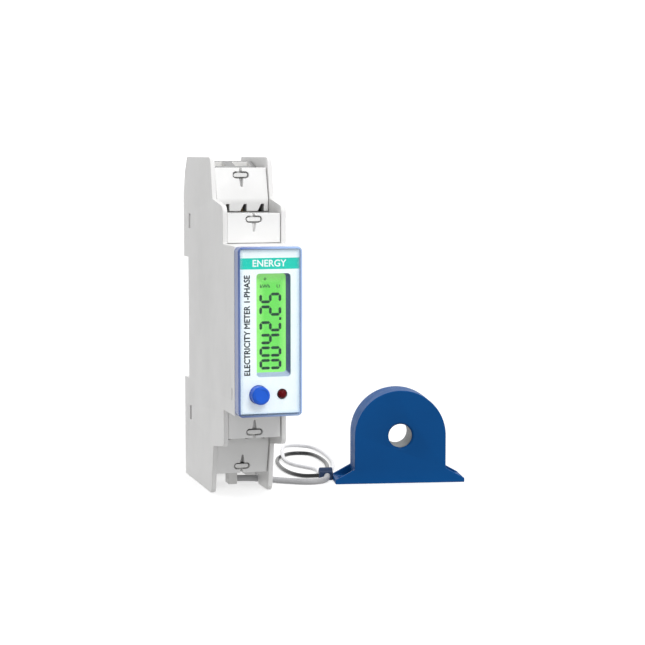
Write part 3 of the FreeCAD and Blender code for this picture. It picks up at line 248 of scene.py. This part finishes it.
def between(made, axis, low, high):
    """0 at low and 1 at high along an axis of the row frame, held beyond both."""
    parts = made.node("ShaderNodeSeparateXYZ")
    made.join(made.place(), parts.inputs["Vector"])
    fall = made.node("ShaderNodeMapRange", clamp=True)
    fall.inputs["From Min"].default_value = low
    fall.inputs["From Max"].default_value = high
    made.join(parts.outputs[axis], fall.inputs["Value"])
    return fall.outputs["Result"]


def largest(made, values):
    """The largest of several values."""
    top = values[0]
    for value in values[1:]:
        step = made.node("ShaderNodeMath", operation="MAXIMUM")
        made.join(top, step.inputs[0])
        made.join(value, step.inputs[1])
        top = step.outputs["Value"]
    return top


def near_sides(made, box, reach):
    """1 at a box's sides in X and Z, falling to 0 at reach inside them."""
    low, high = box
    sides = [between(made, "X", low.x + reach, low.x), between(made, "X", high.x - reach, high.x),
             between(made, "Z", low.z + reach, low.z), between(made, "Z", high.z - reach, high.z)]
    return largest(made, sides)


def by_slope(made, level, upward, start, end):
    """One colour where faces look forward or down, another where they look up, to paint light and shade by
    slope.
    """
    parts = made.node("ShaderNodeSeparateXYZ")
    made.join(made.node("ShaderNodeNewGeometry").outputs["True Normal"], parts.inputs["Vector"])
    return made.ramp(parts.outputs["Z"], level, upward, start, end)


def terminal_moulding_painted_shade():
    """White moulding whose upward faces, down between the walls, are painted grey as the shade of the recess.
    """
    made = Finish("block_finish", Specular_IOR_Level=0.4)
    # Painted shade: faces that look up are darkened, as shade between the walls.
    tone = by_slope(made, (0.82, 0.82, 0.81), (0.26, 0.26, 0.26), 0.45, 0.75)
    made.join(tone, made.shader.inputs["Base Color"])
    made.join(made.spread(made.noise(GLOSS_SCALE, 3.0), 0.4, 0.5), made.shader.inputs["Roughness"])
    made.bump(made.noise(GRAIN_SCALE, 3.0, 0.6), 0.00001)
    return made.material


def bezel():
    """Dark blue walls round the display, painted paler where they face upwards, as light from above falls on
    them.
    """
    made = Finish("bezel_finish", Specular_IOR_Level=0.3)
    # Painted light: faces that look up are paler, as if lit from above.
    tone = by_slope(made, (0.105, 0.085, 0.36), (0.56, 0.62, 0.90), 0.15, 0.5)
    made.join(tone, made.shader.inputs["Base Color"])
    made.join(made.spread(made.noise(250.0), 0.3, 0.42), made.shader.inputs["Roughness"])
    made.bump(made.noise(GRAIN_SCALE, 3.0, 0.6), 0.000004)
    return made.material


DISPLAY_GLOW = 3.2 * MM
WINDOW_TINT = 1.5 * MM
WINDOW_RIM = 0.62 * MM
# How far in from the lamp's sides its painted rim shade reaches.
LAMP_RIM = 0.9 * MM


def lit_display():
    """A green reflective display, lit from its edges."""
    made = Finish("display_finish", Roughness=0.28, Coat_Weight=0.6, Coat_Roughness=0.08)
    glow = near_sides(made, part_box("lcd_glass"), DISPLAY_GLOW)
    colour = made.ramp(glow, (0.105, 0.62, 0.05), (0.36, 0.95, 0.20), 0.0, 1.0)
    made.join(colour, made.shader.inputs["Base Color"])
    made.join(colour, made.shader.inputs["Emission Color"])
    made.shader.inputs["Emission Strength"].default_value = 0.42
    made.bump(made.noise(900.0, 2.0), 0.000004)
    return made.material


def clear_window():
    """Clear plastic with a faint blue tint that gathers towards its edges."""
    made = Finish("window_finish", Roughness=0.06, IOR=1.55)
    made.shader.inputs["Base Color"].default_value = (0.55, 0.78, 0.97, 1)
    gather = near_sides(made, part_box("front_window"), WINDOW_TINT)
    made.join(made.spread(made.noise(60.0, 2.0), 0.05, 0.08), made.shader.inputs["Roughness"])
    alpha = made.node("ShaderNodeMapRange", clamp=True)
    alpha.inputs["To Min"].default_value = 0.03
    alpha.inputs["To Max"].default_value = 0.30
    made.join(gather, alpha.inputs["Value"])
    made.join(alpha.outputs["Result"], made.shader.inputs["Alpha"])
    return made.material


def window_rim():
    """The window's edge, where the blue of the plastic shows, with painted shade deepest at the left, painted
    light paler at the right and a faint painted glow.
    """
    made = Finish("window_rim_finish", Roughness=0.16, IOR=1.55, Alpha=0.9)
    low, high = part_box("front_window")
    # Painted light and shade: darker at the left, paler at the right.
    across = made.ramp(between(made, "X", low.x, high.x), (0.10, 0.17, 0.46), (0.40, 0.58, 0.92), 0.1, 1.0)
    mottle = made.ramp(made.noise(45.0, 2.0), (0.9, 0.9, 0.9), (1.1, 1.1, 1.1))
    mixed = made.node("ShaderNodeMix", data_type="RGBA", blend_type="MULTIPLY")
    mixed.inputs["Factor"].default_value = 1.0
    made.join(across, mixed.inputs["A"])
    made.join(mottle, mixed.inputs["B"])
    tone = mixed.outputs["Result"]
    made.join(tone, made.shader.inputs["Base Color"])
    # Painted glow: the edge shines a little, though it is no lamp.
    made.join(tone, made.shader.inputs["Emission Color"])
    made.shader.inputs["Emission Strength"].default_value = 0.06
    return made.material


def paper(name, colour, glow=0.0):
    """Printed film or ink: nearly smooth, with a faint mottle and, given a glow, painted light that brightens
    it, though it is no lamp.
    """
    made = Finish(name, Specular_IOR_Level=0.2)
    tone = made.ramp(made.noise(500.0, 4.0), shade(colour, 0.975), shade(colour, 1.01))
    made.join(tone, made.shader.inputs["Base Color"])
    # Painted light: the glow brightens the film or ink.
    made.join(tone, made.shader.inputs["Emission Color"])
    made.shader.inputs["Emission Strength"].default_value = glow
    made.join(made.spread(made.noise(150.0), 0.38, 0.5), made.shader.inputs["Roughness"])
    made.bump(made.noise(1800.0), 0.000003)
    return made.material


def lamp():
    """A dark red lens with painted shade that darkens it towards its rim."""
    made = Finish("lamp_finish", Roughness=0.25, Specular_IOR_Level=0.1)
    rim = near_sides(made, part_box("pulse_lamp"), LAMP_RIM)
    # Painted shade: darkest at the rim, lighter in the middle.
    tone = made.ramp(rim, (0.13, 0.0, 0.002), (0.015, 0.0, 0.0), 0.1, 0.8)
    made.join(tone, made.shader.inputs["Base Color"])
    made.bump(made.noise(700.0), 0.000006)
    return made.material


def make_finishes():
    """Every slot's finish."""
    along_y = (60.0, 1.0, 60.0)
    across = (1.0, 40.0, 40.0)
    return {
        # Edge factors above 1 paint highlights on the outer edges; factors below 1 paint shade there.
        "housing_plastic": plastic("housing_finish", (0.80, 0.797, 0.79)),
        "cover_plastic": plastic("cover_finish", (0.80, 0.80, 0.795), rough=0.42),
        "block_plastic": terminal_moulding_painted_shade(),
        "screw_steel": metal("screw_finish", (0.60, 0.60, 0.585), 0.30, across),
        "clamp_brass": metal("clamp_finish", (0.72, 0.60, 0.36), 0.34, along_y),
        "bar_brass": metal("bar_finish", (0.76, 0.57, 0.33), 0.30, along_y),
        "window_clear": clear_window(),
        # The label's glow of 0.19 is painted light that brightens it behind the window.
        "label_print": paper("label_finish", (0.91, 0.985, 0.985), 0.19),
        "carrier_plastic": plastic("carrier_finish", (0.50, 0.51, 0.54)),
        "bezel_plastic": bezel(),
        "display_glass": lit_display(),
        "light_guide": plastic("light_guide_finish", (0.45, 0.86, 0.38), rough=0.25),
        "circuit_board": circuit_board(),
        "component_case": plastic("component_finish", (0.035, 0.035, 0.038), rough=0.5, drift=0.2),
        "lamp_red": lamp(),
        "button_plastic": plastic("button_finish", (0.004, 0.115, 0.72), rough=0.40, grain=0.000006,
                                  painted_edge=0.7, Specular_IOR_Level=0.3),
        "spring_steel": metal("spring_finish", (0.52, 0.52, 0.52), 0.25, across),
        "clip_plastic": plastic("clip_finish", (0.030, 0.030, 0.033), rough=0.45, drift=0.15),
        "transformer_plastic": plastic("transformer_finish", (0.0, 0.062, 0.225), rough=0.5,
                                       grain=0.000014, drift=0.08, painted_edge=1.5, Specular_IOR_Level=0.10),
        "potting_resin": plastic("resin_finish", (0.010, 0.045, 0.125), rough=0.22, grain=0.00004, drift=0.2),
        "bush_plastic": plastic("bush_finish", (0.115, 0.135, 0.145), rough=0.45),
        "core_steel": metal("core_finish", (0.33, 0.33, 0.33), 0.42, along_y),
        "winding_copper": metal("winding_finish", (0.60, 0.25, 0.10), 0.28, along_y),
        "boot_rubber": plastic("boot_finish", (0.004, 0.026, 0.085), rough=0.62, drift=0.2),
        "jacket_grey": plastic("jacket_finish", (0.42, 0.42, 0.43), rough=0.48, drift=0.08),
        "core_black": plastic("core_black_finish", (0.012, 0.013, 0.014), rough=0.30, drift=0.2, painted_edge=1.4),
        "core_white": plastic("core_white_finish", (0.74, 0.74, 0.76), rough=0.32),
    }


# Pieces -------------------------------------------------------------------------------------------

def show(name, mesh, body, slot, finish=None):
    """Put a mesh in the scene as a piece that rides on a body."""
    piece = bpy.data.objects.new(name, mesh)
    bpy.context.scene.collection.objects.link(piece)
    if finish is None:
        finish = FINISHES[slot]
    if not mesh.materials:
        mesh.materials.append(finish)
    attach(piece, body)
    return piece


WELD = 0.001 * MM
FLAT = math.radians(0.6)
SHARP = math.radians(33)
EASE_STEPS = 2


def clean_copy(node):
    """A CAD node's mesh with its seams welded and its flat faces whole."""
    work = bmesh.new()
    work.from_mesh(frame["nodes"][node].data)
    bmesh.ops.remove_doubles(work, verts=work.verts, dist=WELD)
    bmesh.ops.dissolve_limit(work, angle_limit=FLAT, verts=work.verts, edges=work.edges)
    for face in work.faces:
        face.smooth = True
        face.material_index = 0
    mesh = bpy.data.meshes.new(node + "_shape")
    work.to_mesh(mesh)
    work.free()
    if "custom_normal" in mesh.attributes:
        mesh.attributes.remove(mesh.attributes["custom_normal"])
    mesh.set_sharp_from_angle(angle=SHARP)
    return mesh


def ease(piece, width):
    """Round a piece's sharp edges."""
    bevel = piece.modifiers.new("ease", "BEVEL")
    bevel.width = width
    bevel.segments = EASE_STEPS
    bevel.limit_method = "ANGLE"
    bevel.angle_limit = SHARP
    bevel.use_clamp_overlap = False
    bevel.miter_outer = "MITER_ARC"
    weighted = piece.modifiers.new("even", "WEIGHTED_NORMAL")
    weighted.mode = "FACE_AREA"
    weighted.weight = 100


def soften(node, width):
    """A copy of a CAD node with eased edges, which stands for it."""
    source = frame["nodes"][node]
    piece = show(node + "_shape", clean_copy(node), source["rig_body"], SLOT_OF[node])
    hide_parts(node)
    ease(piece, width)


SLOT_OF = {part["node"]: part["material_slot"] for part in frame["record"]["subparts"]}
COVER_EASE, BLOCK_EASE = 0.14 * MM, 0.12 * MM
# The width of each piece's rounding, in mm.
EASED = {
    "left_shell": 0.16, "right_shell": 0.16, "push_button": 0.12, "ct_case": 0.22,
    "ct_bore_bush": 0.12, "ct_back_plate": 0.12, "rail_clip": 0.2, "lead_boot": 0.3,
    "meter_lead_gland": 0.3,
}


def eased_pieces():
    """The mouldings, with their sharp edges rounded."""
    for node, width in EASED.items():
        soften(node, width * MM)
    for tier in TIERS:
        soften(tier + "_cover", COVER_EASE)
        soften(tier + "_terminal_block", BLOCK_EASE)


def clip_spring():
    """The rail clip's spring, as a piece with a mesh of its own; on the real meter it shortens as the clip is
    pulled.
    """
    piece = show("clip_spring_shape", clean_copy("clip_spring"), "root", "spring_steel")
    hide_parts("clip_spring")
    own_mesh(piece)


def finish_nodes():
    """Give every CAD node its finish, whether it shows or another piece stands for it."""
    for node, thing in frame["nodes"].items():
        thing.data.materials.clear()
        thing.data.materials.append(FINISHES[SLOT_OF[node]])


# Face ----------------------------------------------------------------------------------------------

def front_window():
    """The clear lid; the faces round its edge take the deeper blue."""
    low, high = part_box("front_window")
    mesh = clean_copy("front_window")
    mesh.materials.append(FINISHES["window_clear"])
    mesh.materials.append(window_rim())
    for face in mesh.polygons:
        middle = face.center
        inset = min(middle.x - low.x, high.x - middle.x, middle.z - low.z, high.z - middle.z)
        if inset < WINDOW_RIM:
            face.material_index = 1
    piece = show("front_window_shape", mesh, "root", "window_clear")
    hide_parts("front_window")


def solid_of(outline, front_y, thick):
    """A thin flat solid with an outline in X and Z, its front at front_y."""
    work = bmesh.new()
    front = [work.verts.new((x, front_y, z)) for x, z in outline]
    face = work.faces.new(front)
    made = bmesh.ops.extrude_face_region(work, geom=[face])
    moved = [item for item in made["geom"] if isinstance(item, bmesh.types.BMVert)]
    bmesh.ops.translate(work, verts=moved, vec=(0, thick, 0))
    bmesh.ops.recalc_face_normals(work, faces=work.faces)
    mesh = bpy.data.meshes.new("flat_solid")
    work.to_mesh(mesh)
    work.free()
    return mesh


INK_THICK = 0.008 * MM
INK_GAP = 0.004 * MM
INK_STEP = 0.0004 * MM
LETTER_STEPS = 3


def bolder(mesh, reach):
    """The same letters made heavier by copies laid a little to each side, each at its own depth."""
    copies = []
    for step, (right, up) in enumerate(((0, 0), (1, 0), (-1, 0), (0, 1), (0, -1))):
        copies.append(mesh.copy())
        copies[-1].transform(Matrix.Translation((right * reach, -step * INK_STEP, up * reach)))
    bpy.data.meshes.remove(mesh)
    return joined(copies, "letters")


def lettering(name, text, tall, middle, front_y, finish, length=None, upright=True, weight=0.0):
    """Raised ink letters on a plane that faces the front, centred on a point and fitted to a length."""
    data = bpy.data.curves.new(name, "FONT")
    data.body = text
    data.size = tall
    data.align_x = "CENTER"
    data.align_y = "CENTER"
    data.extrude = INK_THICK / 2
    data.resolution_u = LETTER_STEPS
    piece = bpy.data.objects.new(name + "_letters", data)
    bpy.context.scene.collection.objects.link(piece)
    bpy.context.view_layer.update()
    if length:
        piece.scale = (length / piece.dimensions.x, 1, 1)
    turn = 0 if upright else -math.pi / 2
    piece.rotation_euler = (math.pi / 2, turn, 0)
    piece.location = (middle[0], front_y - INK_GAP - INK_THICK / 2, middle[1])
    bpy.context.view_layer.update()
    mesh = bpy.data.meshes.new_from_object(piece.evaluated_get(bpy.context.evaluated_depsgraph_get()))
    mesh.transform(piece.matrix_world)
    bpy.data.objects.remove(piece)
    mesh = bolder(mesh, weight)
    mesh.materials.clear()
    mesh.materials.append(finish)
    mesh.name = name
    show(name, mesh, "root", "label_print")


# The band's ends in height on the meter, then the letter height, length, added weight and distance
# off the meter's middle plane of the word on it and of the words beside the display.
BAND_TOP, BAND_BOTTOM = 67.35 * MM, 64.4 * MM
BAND_TALL, BAND_LONG, BAND_WEIGHT, BAND_ASIDE = 2.5 * MM, 9.0 * MM, 0.05 * MM, -0.1 * MM
BESIDE_TALL, BESIDE_LONG, BESIDE_WEIGHT, BESIDE_ASIDE = 2.2 * MM, 26.2 * MM, 0.07 * MM, -6.0 * MM
BESIDE_Z = 49.7 * MM


def label_print():
    """The teal band with its word, and the words that read upwards beside the display."""
    low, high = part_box("face_label")
    # The band's and the white ink's glows are painted light.
    teal = paper("band_finish", (0.0, 0.62, 0.47), 0.16)
    white_ink = paper("white_ink", (0.93, 0.98, 0.97), 0.12)
    dark_ink = paper("dark_ink", (0.016, 0.018, 0.022))
    corners = [(low.x, BAND_BOTTOM), (high.x, BAND_BOTTOM), (high.x, BAND_TOP), (low.x, BAND_TOP)]
    band = solid_of(corners, low.y - INK_GAP, INK_GAP / 2)
    show("label_band", band, "root", "label_print", teal)
    middle = (MID_X + BAND_ASIDE, (BAND_BOTTOM + BAND_TOP) / 2)
    lettering("label_word", "ENERGY", BAND_TALL, middle, low.y - INK_GAP, white_ink, BAND_LONG,
              weight=BAND_WEIGHT)
    beside = (MID_X + BESIDE_ASIDE, BESIDE_Z)
    lettering("label_words", "ELECTRICITY METER 1-PHASE", BESIDE_TALL, beside, low.y, dark_ink, BESIDE_LONG,
              upright=False, weight=BESIDE_WEIGHT)


# A digit's sizes, in mm: its right is up on the meter, and its up is the meter's left.
POINT = [(-0.35, 0.0), (0.4, 0.0), (0.4, 0.6), (-0.35, 0.6)]
SEGMENTS = {"0": "abcdef", "2": "abged", "4": "fgbc", "5": "afgcd"}
READING = "0042.25"
DIGIT_TALL, DIGIT_WIDE, DIGIT_PITCH, POINT_PITCH = 5.95, 2.75, 3.34, 0.8
STROKE = 0.74
STROKE_GAP = 0.07
# Where the reading starts in height on the meter, and the foot of its digits off the middle plane, in mm.
FIRST_DIGIT = 37.8
DIGITS_BOTTOM = 3.8
SIGN_WEIGHT = 0.03 * MM
UNIT_LONG = 2.6 * MM
# Each small sign of the display: its text, height, place off the middle plane and height on the
# meter, in mm.
SIGNS = {
    "unit": ("kWh", 1.25, -0.6, 59.75),
    "tariff": ("L1", 1.1, 3.05, 59.75),
    "sign": ("+", 1.6, -0.6, 61.6),
}


def segment_shapes():
    """Each segment of a digit as its two ends."""
    wide, tall = DIGIT_WIDE - STROKE, DIGIT_TALL - STROKE
    half = tall / 2
    corner = STROKE / 2
    points = {"a": ((0, tall), (wide, tall)), "g": ((0, half), (wide, half)), "d": ((0, 0), (wide, 0)),
              "f": ((0, half), (0, tall)), "b": ((wide, half), (wide, tall)),
              "e": ((0, 0), (0, half)), "c": ((wide, 0), (wide, half))}
    return {name: [(x + corner, y + corner) for x, y in ends] for name, ends in points.items()}


def segment_outline(start, end):
    """A bar with pointed ends."""
    half = STROKE / 2
    if start[0] == end[0]:
        low, high, x = start[1] + STROKE_GAP, end[1] - STROKE_GAP, start[0]
        return [(x, low), (x + half, low + half), (x + half, high - half), (x, high),
                (x - half, high - half), (x - half, low + half)]
    low, high, y = start[0] + STROKE_GAP, end[0] - STROKE_GAP, start[1]
    return [(low, y), (low + half, y - half), (high - half, y - half), (high, y),
            (high - half, y + half), (low + half, y + half)]


def display_digits():
    """The reading, whose digits read upwards, and the small signs above it."""
    low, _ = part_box("lcd_glass")
    ink = paper("display_ink", (0.012, 0.055, 0.014))
    shapes = segment_shapes()
    meshes = []
    place = FIRST_DIGIT
    for sign in READING:
        if sign == ".":
            meshes.append(display_mark(POINT, place, low.y))
            place += POINT_PITCH
            continue
        for name in SEGMENTS[sign]:
            meshes.append(display_mark(segment_outline(*shapes[name]), place, low.y))
        place += DIGIT_PITCH
    whole = joined(meshes, "display_digits")
    show("display_digits", whole, "root", "display_glass", ink)
    for name, (text, tall, aside, height) in SIGNS.items():
        place = (MID_X + aside * MM, height * MM)
        length = UNIT_LONG if name == "unit" else None
        lettering("display_" + name, text, tall * MM, place, low.y, ink, length, weight=SIGN_WEIGHT)


def display_mark(outline, place, front_y):
    """A mark of the display, given right and up in mm, turned to read upwards."""
    turned = [(MID_X + (DIGITS_BOTTOM - up) * MM, (place + right) * MM) for right, up in outline]
    return solid_of(turned, front_y - INK_GAP - INK_THICK, INK_THICK)


def joined(meshes, name):
    """Several meshes as one."""
    work = bmesh.new()
    for mesh in meshes:
        work.from_mesh(mesh)
        bpy.data.meshes.remove(mesh)
    whole = bpy.data.meshes.new(name)
    work.to_mesh(whole)
    work.free()
    return whole


# Leads -----------------------------------------------------------------------------------------------

JACKET_ROUTE = [
    (0.9, -21.7, 1.6), (4.9, -21.6, 1.5), (9.2, -22.4, 1.2), (12.9, -24.5, 0.95), (16.4, -27.2, 0.95),
    (19.8, -29.3, 0.95), (22.6, -29.75, 0.95), (25.2, -28.85, 0.95), (27.15, -26.85, 1.05),
    (27.95, -24.2, 1.3),
]
BLACK_ROUTE = [
    (26.7, -21.6, 1.15), (23.3, -19.7, 0.7), (20.9, -15.9, 0.65), (19.9, -11.0, 0.65), (19.7, -5.0, 0.65),
    (20.3, 1.8, 0.65), (21.5, 8.6, 0.65), (23.9, 15.2, 0.65), (28.0, 20.4, 0.65), (31.3, 21.6, 0.65),
    (34.5, 20.0, 0.65), (35.6, 16.9, 0.65), (35.9, 12.2, 0.65), (35.7, 6.4, 0.65), (34.9, 0.2, 0.65),
    (33.4, -6.2, 0.65), (31.2, -12.0, 0.65), (29.2, -16.4, 0.85), (28.4, -20.1, 1.2),
]
WHITE_ROUTE = [
    (27.1, -20.1, 1.2), (27.7, -16.1, 0.8), (28.9, -12.0, 0.65), (29.0, -8.0, 0.65), (27.2, -4.2, 0.65),
    (25.2, 0.0, 0.65), (24.1, 5.2, 0.65), (24.3, 11.0, 0.85), (25.3, 16.2, 1.8), (26.5, 20.4, 2.35),
    (28.0, 24.6, 2.3), (29.9, 28.4, 1.9), (32.2, 31.2, 1.5), (35.2, 32.2, 1.2), (38.2, 30.8, 0.95),
    (39.3, 27.6, 0.8), (39.6, 23.2, 0.7), (39.45, 17.9, 0.65), (39.0, 12.2, 0.65), (37.9, 4.8, 0.65),
    (36.3, -2.2, 0.65), (34.1, -8.8, 0.65), (31.7, -15.0, 0.75), (29.8, -20.3, 1.2),
]
# Each lead's route, radius in mm, length in metres and slot.
LEADS = {
    "lead_jacket": (JACKET_ROUTE, 0.9, 0.032, "jacket_grey"),
    "lead_black": (BLACK_ROUTE, 0.6, 0.0947, "core_black"),
    "lead_white": (WHITE_ROUTE, 0.6, 0.1131, "core_white"),
}


CURVE_STEPS, ROUND_STEPS = 10, 5


def lead(node, route, radius, slot):
    """A limp lead on one smooth curve."""
    data = bpy.data.curves.new(node + "_line", "CURVE")
    data.dimensions = "3D"
    data.resolution_u = CURVE_STEPS
    data.bevel_depth = radius * MM
    data.bevel_resolution = ROUND_STEPS
    data.use_fill_caps = True
    spline = data.splines.new("NURBS")
    points = along_route(route)
    spline.points.add(len(points) - 1)
    for held, point in zip(spline.points, points):
        held.co = (*point, 1.0)
    spline.order_u = 3
    spline.use_endpoint_u = True
    data.materials.append(FINISHES[slot])
    piece = bpy.data.objects.new(node + "_run", data)
    bpy.context.scene.collection.objects.link(piece)
    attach(piece, "root")
    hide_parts(node)


# Stage ------------------------------------------------------------------------------------------------

FLOOR_HALF = 4.0


def floor():
    """A plain pale floor, which shines a little so that it looks white."""
    half = FLOOR_HALF
    corners = [(-half, -half, 0), (half, -half, 0), (half, half, 0), (-half, half, 0)]
    mesh = bpy.data.meshes.new("floor")
    mesh.from_pydata(corners, [], [(0, 1, 2, 3)])
    made = Finish("floor_finish", Roughness=0.9, Specular_IOR_Level=0.0)
    made.shader.inputs["Base Color"].default_value = (0.5, 0.5, 0.5, 1)
    made.shader.inputs["Emission Color"].default_value = (1, 1, 1, 1)
    made.shader.inputs["Emission Strength"].default_value = 0.62
    mesh.materials.append(made.material)
    thing = bpy.data.objects.new("floor", mesh)
    bpy.context.scene.collection.objects.link(thing)
    thing.visible_diffuse = False


# Light from the world: an axis, the strength it adds at either end, and the two ends, given as how far
# a direction points along that axis.
SKY = (("Y", 0.42, 1.1, 0.0, 0.6), ("Z", -0.16, 0.16, -0.6, 0.7), ("X", -0.12, 0.30, -0.9, 0.5))


def sky():
    """White light, strongest from behind the object and from above, and weakest from below and the left."""
    world = bpy.data.worlds.new("studio")
    bpy.context.scene.world = world
    world.use_nodes = True
    tree = world.node_tree
    background = tree.nodes["Background"]
    background.inputs["Color"].default_value = (1, 1, 1, 1)
    place = tree.nodes.new("ShaderNodeTexCoord")
    parts = tree.nodes.new("ShaderNodeSeparateXYZ")
    tree.links.new(place.outputs["Generated"], parts.inputs["Vector"])
    total = None
    for axis, low, high, start, end in SKY:
        fall = tree.nodes.new("ShaderNodeMapRange")
        fall.inputs["From Min"].default_value = start
        fall.inputs["From Max"].default_value = end
        fall.inputs["To Min"].default_value = low
        fall.inputs["To Max"].default_value = high
        tree.links.new(parts.outputs[axis], fall.inputs["Value"])
        if total is None:
            total = fall.outputs["Result"]
            continue
        add = tree.nodes.new("ShaderNodeMath")
        tree.links.new(total, add.inputs[0])
        tree.links.new(fall.outputs["Result"], add.inputs[1])
        total = add.outputs["Value"]
    tree.links.new(total, background.inputs["Strength"])


# Each disk of light: its place as X, depth and height in mm, its size in metres and its power.
LIGHTS = {
    "key": ((60, 420, 330), 0.20, 0.85),
    "fill": ((-230, 300, 140), 0.25, 0.10),
    "top": ((60, 60, 560), 0.35, 0.38),
}
LIT_PLACE = (0, 50, 60)


def area_light(name, where, size, power):
    """A disk of white light that shines on the meter's face."""
    data = bpy.data.lights.new(name, "AREA")
    data.shape = "DISK"
    data.size = size
    data.energy = power
    disk = bpy.data.objects.new(name, data)
    bpy.context.scene.collection.objects.link(disk)
    disk.location = where
    disk.rotation_euler = (at(*LIT_PLACE) - where).to_track_quat("-Z", "Y").to_euler()


# Scene ------------------------------------------------------------------------------------------------

bpy.context.scene.view_settings.view_transform = "Standard"
make_camera()
FINISHES = make_finishes()
finish_nodes()
for name, (route, radius, length, slot) in LEADS.items():
    lead(name, route, radius, slot)
eased_pieces()
clip_spring()
front_window()
label_print()
display_digits()
floor()
sky()
for name, (place, size, power) in LIGHTS.items():
    area_light(name, at(*place), size, power)
